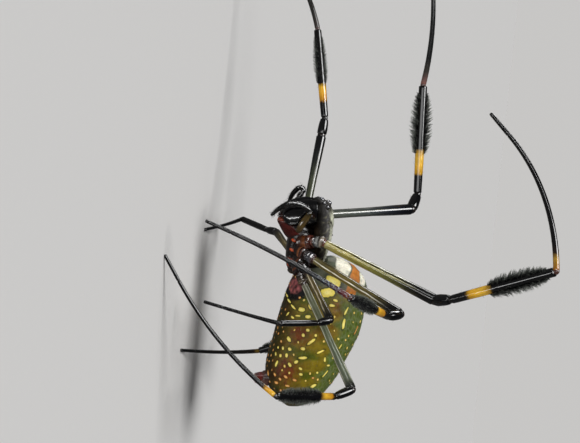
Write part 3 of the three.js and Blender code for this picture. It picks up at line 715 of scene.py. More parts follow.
def membrane(place, wayA, wayB, radius, code, across):
    # the soft ball of a joint, which shows as a thin ring between two shells
    way = unit(wayA + wayB)
    line = np.linspace(place - way * radius, place + way * radius, 14)
    part = tube(line, [radius * 0.93] * 4, lip=radius * 0.9, sides=20, across=across)
    return painted(part, plain(code, len(part["points"])))


def addHip(side, pair, lines, ends, plane, hipRadius):
    # the coxa, the trochanter as a short ring that carries the femur, and their soft joints
    size = 0.35 + 0.65 * legs["pairs"][pair]["girth"]
    hip, line = lines["femur"][0], lines["coxa"]
    neck = np.linalg.norm(line[-1] - line[0]) * legs["neck"]
    radii = [r * size for r in legs["radii"]["coxa"]]
    coxa = tube(line, radii, (0, neck), 0.3 * size, 40, 0.08, plane)
    before, after = ends["coxa"][1], ends["femur"][0]
    start = hip - before * (neck - 0.06)
    bend = curveThrough([start, hip - before * hipRadius * 0.3, hip + after * hipRadius * 0.55], 24)
    radii = [hipRadius * r for r in legs["radii"]["trochanter"]]
    ring = tube(bend, radii, lip=0.18 * size, sides=36, spacing=0.05, across=plane)
    parts = [hipPart(coxa, "coxa", pair), hipPart(ring, "trochanter", pair)]
    for place, way, share in ((start, before, 0.74), (hip + after * hipRadius * 0.5, after, 0.68)):
        parts.append(membrane(place, way, way, hipRadius * share, legPaint["hipSkin"][pair], plane))
    points, faces, fields = joined(parts)
    name = f"{side}_leg_{pair}"
    addPiece(f"{name}_hip", points, faces, hipShell, [f"{name}_coxa"], fields)
    return {"coxa": coxa, "trochanter": ring}


def segmentColour(part, name, side, pair, length):
    own = legPaint.get(side + name.capitalize(), {})
    stops = own if pair in own else legPaint[name]
    uneven = legs["bandWobble"] / length * ripple(part["points"], 0.55, pair + 50, 14)
    colour = paintAlong(part["share"] + uneven, stops[pair] if isinstance(stops, dict) else stops)
    if name == "femur":
        colour = paintedFemurHighlightsAndShade(colour, part, side, pair)
    # painted glints: pale bluish speckles near the base of the metatarsus of left leg 2
    if name == "metatarsus" and (side, pair) == ("left", 2):
        paintedGlints = smooth(0.5, 0.9, ripple(part["points"], 0.35, 9)) * smooth(0.34, 0.2, part["share"])
        colour = mix(colour, paint(legPaint["paintedGlints"]), paintedGlints * 0.8)
    return colour


def addLeg(side, pair):
    data = legs["pairs"][pair]
    girth = data["girth"]
    hipRadius = legs["hipSize"] * (0.35 + 0.65 * girth)
    lines, plane = legLines(side, pair)
    ends = {name: (unit(line[1] - line[0]), unit(line[-1] - line[-2])) for name, line in lines.items()}
    shells, parts, run = {}, [], 0.0
    gaps = {   # room for the joint before and behind each length
        "femur": (hipRadius * 0.55, 0.12 * girth), "patella": (0.12 * girth, 0.1 * girth),
        "tibia": (0.12 * girth, 0.12 * girth), "metatarsus": (0.1 * girth, 0.02), "tarsus": (0.02, 0.0),
    }
    for name, length in zip(segmentNames, data["lengths"]):
        radii = [max(r * girth, legs["thinnest"]) - legs["inset"] for r in legs["radii"][name]]
        line = lines[name]
        if name == "tarsus":
            line = np.concatenate([line, line[-1:] + ends[name][1] * 0.2])
        lip = {"tarsus": 0.16, "metatarsus": 0.1}.get(name, 0.22 * girth)
        part = tube(line, radii, gaps[name], lip, 72 if name == "femur" else 24, across=plane)
        colour = segmentColour(part, name, side, pair, length)
        part["points"][:, 2] = np.maximum(part["points"][:, 2], 0.0)
        parts.append(painted(part, colour, run))
        shells[name] = part
        run += length
    for joint, inner, outer, radius in legs["joints"]:
        ball = max(radius * girth, legs["thinnest"]) - legs["inset"] * 1.5
        code = legPaint["joints"][joint]
        code = code[pair] if isinstance(code, dict) else code
        parts.append(membrane(lines[outer][0], ends[inner][1], ends[outer][0], ball, code, plane))
    points, faces, fields = joined(parts)
    points[:, 2] = np.maximum(points[:, 2], 0.0)
    name = f"{side}_leg_{pair}"
    nodes = [f"{name}_{part}" for part in ("femur", "tibia", "metatarsus", "tarsus")]
    addPiece(f"{name}_skin", points, faces, legShell, nodes, fields)
    shells.update(addHip(side, pair, lines, ends, plane, hipRadius))
    return shells, plane


def onShell(shell, share, angle):
    # points, outward ways and forward ways on a tube, by share of its length and angle round it
    at = share * shell["length"]
    centre, across, up, way = (
        np.stack([np.interp(at, shell["at"], shell[key][:, i]) for i in range(3)], 1)
        for key in ("centres", "across", "up", "ways")
    )
    out = unit(across) * np.cos(angle)[:, None] + unit(up) * np.sin(angle)[:, None]
    width = np.interp(at, shell["at"], shell["width"])
    return centre + out * width[:, None], out, unit(way), width


brushes = {
    "count": {1: 3000, 2: 1900, 4: 2200},   # bristles of each brush
    # degrees round the tibia of the bare face between the two fans of bristles
    "bare": {("left", 1): -14, ("left", 2): 93, ("left", 4): -35, ("right", 1): 148, ("right", 2): 158,
             ("right", 4): -127},
    "lean": (50, 78),      # degrees out from the stem
    "fan": {1: 24, 2: 38, 4: 27},   # how far each fan spreads round the stem, in degrees
    "long": 0.62,          # share of long bristles, which run together into spikes; the rest is underwool
    "spikes": (0.3, 17),   # how far the spikes stand apart, in mm along the stem and in degrees round it
    "width": 0.022,
    "root": "060507",
    # bristle tips run from dark to pale; the pale tips are painted glints on black bristles
    "tips": ["1c1c1e", "a8aea4"],   # darkest and palest
}


def brushReach(brush, share, bare):
    # how far the brush stands out from the stem's middle
    start, end, radius = brush
    t = np.clip((share - start) / (end - start), 0, 1)
    return bare + (radius - bare) * np.sin(np.pi * t ** 0.8) ** 0.55


def addBrush(side, pair, shells, seed):
    brush = legs["pairs"][pair]["brush"]
    first, last, _ = brush
    stem = shells["tibia"]
    rng = np.random.default_rng(seed)
    count = brushes["count"][pair]
    share = rng.uniform(first - 0.01, last - 0.03, count)
    fan = np.where(rng.random(count) < 0.5, 90, 270) + rng.normal(0, brushes["fan"][pair], count)
    turned = np.radians(brushes["bare"][side, pair])
    roots, out, way, _ = onShell(stem, share, np.radians(fan) + turned)
    # the spike that each bristle belongs to, with its own place, lean and length
    gap, step = brushes["spikes"]
    cell, row = np.floor(share * stem["length"] / gap), np.round(fan / step)
    kinds = 1009   # how many spikes differ
    stray = rng.random((kinds, 4))[((cell * 37 + row * 101) % kinds).astype(int)]
    spikeShare = np.clip((cell + 0.2 + 0.6 * stray[:, 0]) * gap / stem["length"], first, last - 0.02)
    spikeFan = (row + 0.6 * (stray[:, 1] - 0.5)) * step
    base, spikeOut, spikeWay, bare = onShell(stem, spikeShare, np.radians(spikeFan) + turned)
    low, high = brushes["lean"]
    lean = np.radians(low + (high - low) * stray[:, 2])
    rise, ahead = np.sin(lean)[:, None], np.cos(lean)[:, None]
    spike = unit(spikeOut * rise + spikeWay * ahead)
    ending = np.clip(spikeShare + 0.03, first + 0.02, last - 0.02)
    room = np.maximum(brushReach(brush, ending, bare) - bare * 0.85, 0.15)
    fromBare = 0.4 + 0.6 * np.abs(np.sin(np.radians(spikeFan)))   # spikes shorten towards the bare face
    reach = room / np.sin(lean) * (0.86 + 0.18 * stray[:, 3]) * fromBare
    spikeEnd = base + spike * (reach * rng.uniform(0.84, 1.03, count))[:, None]
    target = spikeEnd + rng.normal(0, 0.035, (count, 3))
    # underwool fills the space between them
    wool = rng.random(count) > brushes["long"]
    loose = unit(out * rise + way * ahead + rng.normal(0, 0.1, (count, 3)))
    woolEnd = roots + loose * (reach * rng.uniform(0.35, 0.75, count))[:, None]
    target = np.where(wool[:, None], woolEnd, target)
    lengths = np.linalg.norm(target - roots, axis=1)
    tints = paint(brushes["root"]) * rng.uniform(0.7, 1.3, (count, 1))
    # painted glints: long bristles get pale tips at random, while the underwool keeps dark tips
    dark, pale = (paint(code) for code in brushes["tips"])
    tips = mix(dark, pale, np.where(wool, 0, rng.random(count)) ** 1.2)
    places = np.stack([0.1 + 0.8 * share, (fan / 360) % 1], 1)
    widths = brushes["width"] * rng.uniform(0.8, 1.3, count)
    ways, bends = unit(target - roots), way * 0.1 - out * 0.04
    group = growHairs(roots, ways, bends, lengths, widths, places, tints, tips)
    addHairs(f"{side}_leg_{pair}_brush", [group], blackHair)


setae = {
    # hairs for each millimetre, length, lean in degrees, width
    "coxa": (16, 0.34, 50, 0.013), "trochanter": (14, 0.3, 50, 0.013),
    "femur": (3, 0.34, 34, 0.012), "patella": (5, 0.5, 48, 0.014), "tibia": (5, 0.5, 45, 0.012),
    "metatarsus": (3, 0.42, 34, 0.009), "tarsus": (18, 0.26, 34, 0.008),
    "dark": "0a0909", "light": "3a342e",
}


def addSetae(side, pair, shells, seed):
    rng = np.random.default_rng(seed)
    girth = legs["pairs"][pair]["girth"]
    groups = []
    for row, name in enumerate(["coxa", "trochanter", *segmentNames]):
        density, length, lean, width = setae[name]
        shell = shells[name]
        count = int(density * shell["length"])
        share = rng.uniform(0.03, 0.98, count) * (0.6 if name == "coxa" else 1)
        angle = rng.uniform(0, fullTurn, count)
        roots, out, way, _ = onShell(shell, share, angle)
        slope = np.radians(lean + rng.normal(0, 7, count))[:, None]
        ways = unit(out * np.sin(slope) + way * np.cos(slope) + rng.normal(0, 0.08, (count, 3)))
        lengths = length * (0.5 + 0.5 * girth) * rng.uniform(0.5, 1.15, count)
        if name == "tarsus":
            lengths = np.minimum(lengths, (1 - share) * shell["length"] + 0.02)
        clear = (roots[:, 2] + ways[:, 2] * lengths > 0.01) & (roots[:, 2] > 0.05)   # of the floor
        pale = (rng.random(count) < 0.2)[:, None]
        tints = np.where(pale, paint(setae["light"]), paint(setae["dark"]))
        tints = tints * rng.uniform(0.7, 1.3, (count, 1))
        places = np.stack([(row + share) / 7 * 0.96 + 0.02, (angle / fullTurn) % 1], 1)
        widths = np.full(count, width)
        groups.append(growHairs(roots, ways, -out * 0.12, lengths, widths, places, tints, keep=clear))
    addHairs(f"{side}_leg_{pair}_hairs", groups, blackHair)


claws = {
    "length": 0.2, "radius": 0.045, "spread": 0.12, "colour": "160a08",
    "taper": (1, 0.85, 0.5, 0.15), "lowest": 0.004,   # how near the floor a claw comes
}


def footClaws(foot, plane):
    tip, way = foot["centres"][-6], foot["ways"][-6]
    down = unit(np.array([0, 0, -1.0]) - way * -way[2])
    parts = []
    for sideways in (-1, 1):
        start = tip + plane * sideways * claws["spread"] * 0.6 - way * 0.2
        bend = start + way * 0.15 + plane * sideways * 0.04
        end = start + way * claws["length"] + down * 0.1 + plane * sideways * 0.05
        radii = [claws["radius"] * r for r in claws["taper"]]
        claw = tube(curveThrough([start, bend, end], 16), radii, lip=0.02, sides=8, spacing=0.03)
        claw["points"][:, 2] = np.maximum(claw["points"][:, 2], claws["lowest"])
        parts.append(painted(claw, plain(claws["colour"], len(claw["points"]))))
    return parts


clawParts = []
for number, (side, pair) in enumerate(legs["pose"]):
    shells, plane = addLeg(side, pair)
    if legs["pairs"][pair]["brush"]:
        addBrush(side, pair, shells, 100 + number)
    addSetae(side, pair, shells, 200 + number)
    clawParts += footClaws(shells["tarsus"], plane)
points, faces, fields = joined(clawParts)
addPiece("foot_claws", points, faces, blackShell, fields=fields)
print("legs: eight skins, six brushes, hairs and claws")

# x, y, z and radius of each left eye
eyes = {
    "front_middle": (0.42, -5.16, 0.95, 0.3), "rear_middle": (0.5, -4.82, 1.98, 0.3),
    "front_side": (2.05, -4.98, 0.85, 0.26), "rear_side": (2.3, -4.5, 1.4, 0.26),
}
carapace = {
    # along, half width, top and bottom
    "stations": [
        (0.0, 1.5, 1.1, 0.1), (0.25, 2.25, 1.75, -0.15), (1.1, 2.6, 2.45, -0.2), (2.6, 2.95, 2.85, 0.0),
        (4.4, 3.65, 2.8, 0.2), (6.2, 4.1, 2.6, 0.3), (8.2, 3.75, 2.15, 0.3), (9.5, 2.4, 1.5, 0.2),
        (10.0, 1.0, 0.95, 0.3),
    ],
    "front": -5.2, "cells": (170, 210),  # mesh cells along and round
    "shape": (0.85, 0.6),               # how square it is above and below
    "pit": (0.0, 1.3),                  # the groove in the middle of the back, x and y
    "neckFurrow": (2.7, -2.4),          # where the furrow behind the head reaches the edge
    "furrowDepth": 0.16,
    "horns": (0.95, -0.3, 0.32, 0.42),  # x, y, radius, height
    "collar": 0.1,                      # height of the ring round each eye
    "shell": "17110c", "edge": "3a2a1c", "moss": "33301c", "stroke": "6e6a52", "silver": "b4b6a0",
    "down": (("15130b", "a8a698"), ("525238", "dcdbd2")),   # roots and tips, each dark and pale
    "hairs": 46000,                     # places tried; the silver back keeps most, the flanks a third
    "most": 17500,                      # hairs at most
    "hairLength": (0.2, 0.5), "hairWidth": 0.017,
}


def lineDistance(x, y, start, end):
    a, b = np.array(start), np.array(end)
    run = b - a
    t = np.clip(((x - a[0]) * run[0] + (y - a[1]) * run[1]) / (run @ run), 0, 1)
    return np.hypot(x - a[0] - t * run[0], y - a[1] - t * run[1])


def eyeCentres():
    for row, (x, y, z, radius) in eyes.items():
        for side, sign in (("left", 1), ("right", -1)):
            yield f"eye_{side}_{row}", np.array([sign * x, y, z]), radius


def carapaceRelief(grid, x, y, z):
    # how far furrows, horns and the collars of the eyes stand out, and where furrows and horns lie
    pit = carapace["pit"]
    furrows = [(pit, carapace["neckFurrow"], 0.22, 1.0)]
    for pair in legs["pairs"].values():
        furrows.append((pit, (pair["hip"][0] * 0.8, pair["hip"][1] * 0.8 + 0.2), 0.2, 0.5))
    furrows.append((pit, (0, 2.0), 0.16, 1.6))
    sink = np.zeros_like(x)
    for start, end, width, depth in furrows:
        sink = np.maximum(sink, depth * bell(lineDistance(x, y, start, end), width))
    hornX, hornY, hornRadius, hornHeight = carapace["horns"]
    horn = np.clip(1 - np.hypot(x - hornX, y - hornY) / hornRadius, 0, 1) ** 0.8 * smooth(1, 2, z)
    lift = -carapace["furrowDepth"] * sink * smooth(0.6, 1.4, z) + horn * hornHeight
    for _, centre, radius in eyeCentres():
        away = np.linalg.norm(grid - centre, axis=-1) / radius
        lift = lift + carapace["collar"] * bell(away - 1.12, 0.28) - 0.1 * bell(away, 0.75)
    return lift + 0.012 * ripple(grid, 0.6, 5), sink, horn


def addCarapace():
    rings, sides = carapace["cells"]
    body = loft(carapace["stations"], carapace["front"], rings, sides, carapace["shape"])
    grid = body["grid"]
    x, y, z = np.abs(grid[..., 0]), grid[..., 1], grid[..., 2]
    lift, sink, horn = carapaceRelief(grid, x, y, z)
    grid = grid + gridNormals(grid) * lift[..., None]
    normals = gridNormals(grid)
    # silver down on the back, dark shell in the furrows, on the face and low on the sides
    cloud = ripple(grid, 1.6, 6)
    speck = ripple(grid, 0.3, 7, 40)
    back = smooth(0.42, 0.78, normals[..., 2] + 0.08 * cloud + 0.14 * speck) * smooth(-4.6, -3.2, y)
    silver = back * (1 - 0.7 * np.clip(sink, 0, 1)) * (1 - horn)
    # greyish strokes slant over the flanks
    flank = smooth(0.5, 1.1, z) * smooth(-3.9, -3.1, y) * smooth(3.0, 2.0, y) * (1 - back)
    slant = np.stack([x * 0.35, (y + z) * 0.75, (y - z) * 0.3], -1)
    uneven = np.clip(0.5 + 1.2 * ripple(slant, 0.35, 21, 40), 0.1, 1)
    strokes = smooth(-0.2, 0.8, np.sin((y + z) * 8 + 3 * cloud + speck) - 0.3) * uneven * flank
    moss = smooth(0.1, 0.9, 0.6 * cloud + ripple(grid * [1.6, 1, 0.6], 0.32, 13, 40)) * smooth(-5, -3.4, y)
    colour = layered(carapace, "shell", [
        ("moss", moss * 0.8),
        ("edge", smooth(0.7, 0.3, z) * smooth(-2.5, 0, y) * 0.6),
        ("shell", smooth(2.0, 0.9, z) * smooth(-0.8, -2.6, y) * 0.9, 0.4),
        ("stroke", strokes * 0.7),
        ("silver", silver * 0.8),
    ])
    addHeadLoft("carapace", body, grid, colour, 0.3, carapaceShell)
    return grid, normals, np.maximum(silver, 0.45 * strokes)


def addCarapaceHairs(grid, normals, silver):
    rng = np.random.default_rng(31)
    rings, sides = grid.shape[:2]
    chance = (0.4 + 0.6 * silver) * (grid[..., 2] > 0.3)
    ring, side = (cells[:carapace["most"]] for cells in scatter(grid, carapace["hairs"], chance, rng))
    for _, centre, radius in eyeCentres():
        clear = np.linalg.norm(grid[ring, side] - centre, axis=1) > radius * 1.5
        ring, side = ring[clear], side[clear]
    roots, out, white = grid[ring, side], normals[ring, side], silver[ring, side]
    count = len(roots)
    # down lies backwards and a little towards the middle of the back
    back = np.stack([-0.35 * np.sign(roots[:, 0]), np.ones(count), np.zeros(count)], 1)
    ways = combed(out, back, rng, 0.22, (0.06, 0.3))
    white = np.clip(white + rng.normal(0, 0.12, count), 0, 1)
    bright = np.exp(rng.normal(0, 0.45, (count, 1)) * (1 - 0.6 * white[:, None]))
    tints, tips = (
        np.minimum(mix(paint(dark), paint(pale), white) * bright, 0.8) for dark, pale in carapace["down"]
    )
    places = np.stack([ring / rings, side / sides], 1)
    lengths, width = rng.uniform(*carapace["hairLength"], count), carapace["hairWidth"]
    group = bodyHairs(headTurn, headPlace, roots, ways, out, 0.12, lengths, width, places, tints, tips)
    addHairs("carapace_down", [group], silverHair)


def lensMaterial():
    # a polished dark lens with a faint blue depth and a clear coat
    look = {"deep": "030306", "blue": "0e1a3c", "gloss": (0.03, 0.09), "scale": 2500}
    sockets = {"IOR": 1.6, "Coat Weight": 1.0, "Coat Roughness": 0.03}
    material, tree, shader, where = startMaterial("eyeLens", sockets)
    cloud = noiseOf(tree, where, look["scale"], 3.0)
    colour = mixed(tree, rgba(look["deep"]), rgba(look["blue"]), spread(tree, cloud, 0, 0.7))
    tree.links.new(colour, shader.inputs["Base Color"])
    tree.links.new(spread(tree, cloud, *look["gloss"]), shader.inputs["Roughness"])
    bumped(tree, shader, [(cloud, 0.05, 0.000004)])
    return material


def addEyes():
    lens = lensMaterial()
    for name, centre, radius in eyeCentres():
        out = unit(centre - np.array([0, -2.6, 0.6]))
        line = np.linspace(centre - out * radius * 0.9, centre + out * radius * 0.94, 20)
        eye = tube(line, [radius * 0.97] * 3, lip=radius * 0.9, sides=32, spacing=0.03)
        addPiece(f"{name}_lens", fromHead(eye["points"]), eye["faces"], lens, [name])


shieldGrid, shieldNormals, shieldSilver = addCarapace()
addCarapaceHairs(shieldGrid, shieldNormals, shieldSilver)
addEyes()
print("head: carapace, down and eyes")

jaws = {
    "top": (1.14, -3.35, 0.35), "tip": (1.02, -1.9, -4.5), "half": 1.06, "depth": 1.9, "bow": 0.35,
    "widths": (0.92, 0.96, 1.02, 1.03, 1.0, 0.95, 0.86, 0.7, 0.4),   # as shares of half
    "black": "060608", "boss": "2c140c", "bossPlace": (2.0, -3.0, -0.6),
    "keel": 0.13, "keelTurn": -42,   # how far the keel stands out, and degrees round from the outer side
    "hairs": 260, "bristle": "1a1614", "hairLength": (0.25, 0.55), "hairWidth": 0.013,
    "hairless": -2.6,                # no hairs behind this, along Y
}
fangs = {
    "line": [(0.9, -2.4, -4.1), (0.62, -2.42, -4.75), (0.3, -2.05, -5.14)],
    "radii": (0.32, 0.3, 0.22, 0.12, 0.04), "stops": [(0, "3a0f08"), (0.5, "200806"), (1, "0a0404")],
}


def bristlesOn(shell, count, rng, first, lift):
    # random places on a tube of the head, with ways that lean forwards along it
    share, angle = rng.uniform(first, 0.97, count), rng.uniform(0, fullTurn, count)
    roots, out, way, _ = onShell(shell, share, angle)
    return share, angle, roots, out, unit(way + out * rng.uniform(*lift, count)[:, None])


def addJaw(side, sign):
    flip = np.array([sign, 1, 1])
    t = np.linspace(0, 1, 30)[:, None]
    line = np.array(jaws["top"]) * (1 - t) + np.array(jaws["tip"]) * t
    line[:, 1] -= np.sin(np.pi * t[:, 0]) * jaws["bow"]
    radii = [w * jaws["half"] for w in jaws["widths"]]
    jaw = tube(line * flip, radii, lip=0.35, sides=96, spacing=0.06, stretch=jaws["depth"] / jaws["half"])
    # a brown boss at the outer root, and a low keel along the outer hind edge
    local = jaw["points"] * flip
    boss = bell(np.linalg.norm(local - np.array(jaws["bossPlace"]), axis=1), 0.3)
    local = local + np.array([0.12, 0, 0]) * boss[:, None]
    turn = np.degrees(jaw["angle"]) * sign
    keel = bell(wrapped(turn - jaws["keelTurn"]), 8) * smooth(0.02, 0.2, jaw["share"])
    local = local + np.array([1.0, 0.1, 0]) * (jaws["keel"] * keel * smooth(1, 0.85, jaw["share"]))[:, None]
    local[:, 0] = np.maximum(local[:, 0], 0.03)
    painted(jaw, layered(jaws, "black", [("boss", boss * 0.9)]))
    addPiece(f"chelicera_{side}_skin", fromHead(local * flip), jaw["faces"], blackShell,
             [f"chelicera_{side}"], jaw["fields"])
    fang = tube(curveThrough(fangs["line"], 30) * flip, fangs["radii"], lip=0.03, sides=20, spacing=0.04)
    painted(fang, paintAlong(fang["share"], fangs["stops"]))
    addPiece(f"fang_{side}_skin", fromHead(fang["points"]), fang["faces"], blackShell,
             [f"fang_{side}"], fang["fields"])
    rng = np.random.default_rng(60 + sign)
    share, angle, roots, out, ways = bristlesOn(jaw, jaws["hairs"], rng, 0.15, (0.3, 0.9))
    tints = plain(jaws["bristle"], len(roots))
    places = np.stack([share * 0.48 + (0.5 if sign < 0 else 0), angle / fullTurn], 1)
    lengths, width = rng.uniform(*jaws["hairLength"], len(roots)), jaws["hairWidth"]
    front = roots[:, 1] < jaws["hairless"]
    return bodyHairs(headTurn, headPlace, roots, ways, out, 0.1, lengths, width, places, tints, keep=front)


palps = {
    "paths": {
        "left": [(2.2, -0.5, -2.5), (2.9, -2.2, -1.95), (3.35, -3.7, -1.4), (3.3, -4.5, -2.4),
                 (2.8, -4.65, -4.1), (2.2, -3.75, -5.4), (1.6, -2.4, -6.5)],
        "right": [(-2.2, -0.5, -2.5), (-2.8, -2.5, -2.3), (-3.0, -4.3, -2.0), (-3.1, -5.6, -1.3),
                  (-3.4, -6.0, -1.8), (-3.8, -4.9, -2.6), (-3.9, -3.3, -3.1)],
    },
    "radius": 0.35,
    "joints": (0.0, 0.36, 0.46, 0.66, 1.0),   # shares where femur, patella, tibia and tarsus meet
    "girths": [(1.1, 1.38, 1.36, 1.12), (1.1, 1.12, 1.06), (1.04, 1.1, 1.1, 1.06),
               (1.0, 1.06, 0.98, 0.8, 0.55)],
    "stops": [[(0, "22180c"), (0.3, "48381a"), (0.7, "403216"), (0.88, "2a220e"), (1, "100d08")],
              [(0, "0c0b0a"), (1, "0a090a")], [(0, "090909"), (1, "070708")],
              [(0, "070708"), (1, "050505")]],
    "hairs": (24, 36, 70, 120), "hairLength": (0.35, 0.8), "hairWidth": 0.018,
    "joint": "1c1612", "dark": "080808", "light": "4a4640",   # of the joints and the hairs
}


def addPalp(side, path):
    line = curveThrough(path, 200)
    parts, groups = [], []
    rng = np.random.default_rng(71 if side == "left" else 72)
    marks = [int(mark * (len(line) - 1)) for mark in palps["joints"]]
    for k in range(4):
        piece = line[marks[k]:marks[k + 1] + 1]
        radii = [g * palps["radius"] for g in palps["girths"][k]]
        part = tube(piece, radii, (0.03 if k else 0, 0.03 if k < 3 else 0), 0.14, 22, 0.08)
        parts.append(painted(part, paintAlong(part["share"], palps["stops"][k]), k * 3.0))
        if k < 3:
            way = unit(piece[-1] - piece[-3])
            parts.append(membrane(piece[-1], way, way, palps["radius"] * 0.9, palps["joint"], (1, 0, 0)))
        count = palps["hairs"][k]
        share, angle, roots, out, ways = bristlesOn(part, count, rng, 0.05, (0.5, 1.1))
        lengths = rng.uniform(*palps["hairLength"], count) * (0.85 if k == 3 else 1)
        tints = layered(palps, "dark", [("light", rng.random(count) ** 3)])
        places = np.stack([(k + share) / 4, angle / fullTurn], 1)
        groups.append(bodyHairs(headTurn, headPlace, roots, ways, out, 0.1, lengths, palps["hairWidth"],
                                places, tints))
    points, faces, fields = joined(parts)
    addPiece(f"palp_{side}_skin", fromHead(points), faces, legShell, [f"palp_{side}"], fields)
    addHairs(f"palp_{side}_hairs", groups, blackHair)


mouth = {
    "stations": [(0.0, 0.75, -4.2, -5.05), (0.4, 1.25, -1.2, -5.1), (1.0, 1.45, 0.35, -4.75),
                 (1.8, 1.45, 0.5, -4.2), (2.4, 1.2, -0.3, -3.7), (2.8, 0.8, -1.2, -3.2)],
    "front": -1.9, "red": "400d07", "dark": "0a0505", "tip": "8a3a1c", "groove": 0.42,
    "edge": (-4.2, 1.3),    # height of the red blades' upper edge at the front, and its rise to the rear
    "cells": (90, 120),
    "hairs": 1500, "fringe": ("0a0808", "5a3a28"), "hairLength": (0.2, 0.4), "hairWidth": 0.013,
}


def addMouth():
    body = loft(mouth["stations"], mouth["front"], *mouth["cells"])
    grid = body["grid"]
    normals = gridNormals(grid)
    x, y, z = np.abs(grid[..., 0]), grid[..., 1], grid[..., 2]
    level, rise = mouth["edge"]
    above = z - level - rise * (y - mouth["front"]) + 0.08 * ripple(grid, 0.8, 15)
    groove = bell(x - mouth["groove"], 0.08) * smooth(-3.2, -3.6, z)
    blade = smooth(0.12, -0.12, above)
    grid = grid + normals * (0.09 * blade - 0.02 - 0.12 * groove)[..., None]
    colour = layered(mouth, "red", [
        ("dark", groove * 0.8),
        ("tip", smooth(-1.45, -1.8, y) * 0.6),
        ("dark", smooth(-0.3, 0.6, y) * 0.6),
        # painted shade: dark above the blades' edge, where the jaws shade the mouth
        ("dark", smooth(-0.1, 0.1, above)),
    ])
    addHeadLoft("mouthparts", body, grid, colour, 0.4, bodyShell)
    # a dark fringe where the blades meet the jaws
    rng = np.random.default_rng(66)
    chance = bell(above - 0.1, 0.35) + 0.05
    ring, side = scatter(grid, mouth["hairs"], chance, rng)
    roots, out = grid[ring, side], normals[ring, side]
    ways = combed(out, np.array([[0, -1.0, 0.4]]), rng, 0.3, (0.3, 0.9))
    root, tip = (plain(code, len(roots)) for code in mouth["fringe"])
    places = np.stack([ring / grid.shape[0], side / grid.shape[1]], 1)
    lengths, width = rng.uniform(*mouth["hairLength"], len(roots)), mouth["hairWidth"]
    tips = mix(root, tip, 0.5)
    group = bodyHairs(headTurn, headPlace, roots, ways, out, 0.1, lengths, width, places, root, tips)
    addHairs("mouthparts_hairs", [group], blackHair)


sternum = {
    "stations": [(0.0, 0.7875, 0.1, -2.6), (0.708, 1.4875, 0.1, -3.15), (2.36, 1.75, 0.1, -3.3),
                 (4.425, 1.4, 0.1, -3.2), (5.9, 0.6125, 0.1, -2.6)],
    "front": -0.9, "cells": (90, 120), "shape": (0.5, 0.7),
    "points": [(1.25, -0.45), (1.5, 0.9), (1.42, 2.3), (1.0, 3.7), (0.0, 4.7)],   # the orange humps
    "dark": "140907", "orange": "b8461a", "pale": "dc8a50",
}


def addSternum():
    body = loft(sternum["stations"], sternum["front"], *sternum["cells"], sternum["shape"])
    grid = body["grid"]
    x, y = np.abs(grid[..., 0]), grid[..., 1]
    humps = np.zeros_like(x)
    for px, py in sternum["points"]:
        a, b = (x - px) + 0.5 * (y - py), (y - py) - 0.5 * (x - px)
        humps = np.maximum(humps, np.exp(-((a / 0.42) ** 2 + (b / 0.24) ** 2) ** 1.4))
    humps = humps * smooth(-2.0, -2.8, grid[..., 2]) * (0.85 + 0.15 * ripple(grid, 0.35, 16, 20))
    grid = grid + gridNormals(grid) * (0.2 * humps + 0.02 * ripple(grid, 0.7, 8))[..., None]
    colour = layered(sternum, "dark", [
        ("orange", smooth(0.3, 0.6, humps)),
        ("pale", smooth(0.75, 1.0, humps) * 0.7),
    ])
    addHeadLoft("sternum", body, grid, colour, 0.3, bodyShell)


addHairs("chelicera_hairs", [addJaw("left", 1), addJaw("right", -1)], blackHair)
for side, path in palps["paths"].items():
    addPalp(side, path)
addMouth()
addSternum()
print("head: jaws, fangs, feelers, mouth and sternum")

abdomen = {
    "stations": [
        (0.0, 0.9, 0.9, -1.0), (0.5, 2.2, 2.9, -2.5), (2.0, 3.25, 5.0, -4.0), (4.6, 4.2, 5.9, -5.4),
        (9.0, 5.15, 6.4, -5.6), (13.0, 5.35, 5.8, -5.45), (17.0, 4.9, 5.0, -5.4), (20.2, 3.7, 3.6, -4.3),
        (22.0, 1.9, 1.6, -2.2), (22.6, 0.7, 0.2, -0.9),
    ],
    "length": 22.6,
    "shape": (0.95, 0.95),
    "rings": 270, "sides": 330,
    "olive": "746412", "oliveDark": "4c540c", "red": "682604", "green": "4a5c20", "belly": "1c1c06",
    "white": "dcd8c6", "orange": "b0681c", "grey": "4e544a", "pink": "9a5454", "black": "0a0a0a",
    # red-brown clouds: along, degrees round, radius, strength
    "clouds": [(11.2, -34, 1.5, 1.05), (9.8, 2, 1.3, 0.5), (17.0, -36, 2.0, 1.05), (18.2, -66, 1.8, 0.8),
               (6.2, 12, 1.2, 0.5), (13.2, -60, 1.4, 0.3), (8.6, -72, 1.5, 0.6)],
    "lung": (5.2, -70, 2.0, 2.8),       # along, degrees round, half length, half width
    "pits": (5.5, 8.2, 11.0, 13.8),     # where the paired pits lie along the back
    "hairs": 3600, "hair": ("1c1610", "8a8470"), "hairLength": (0.2, 0.42), "hairWidth": 0.011,
}
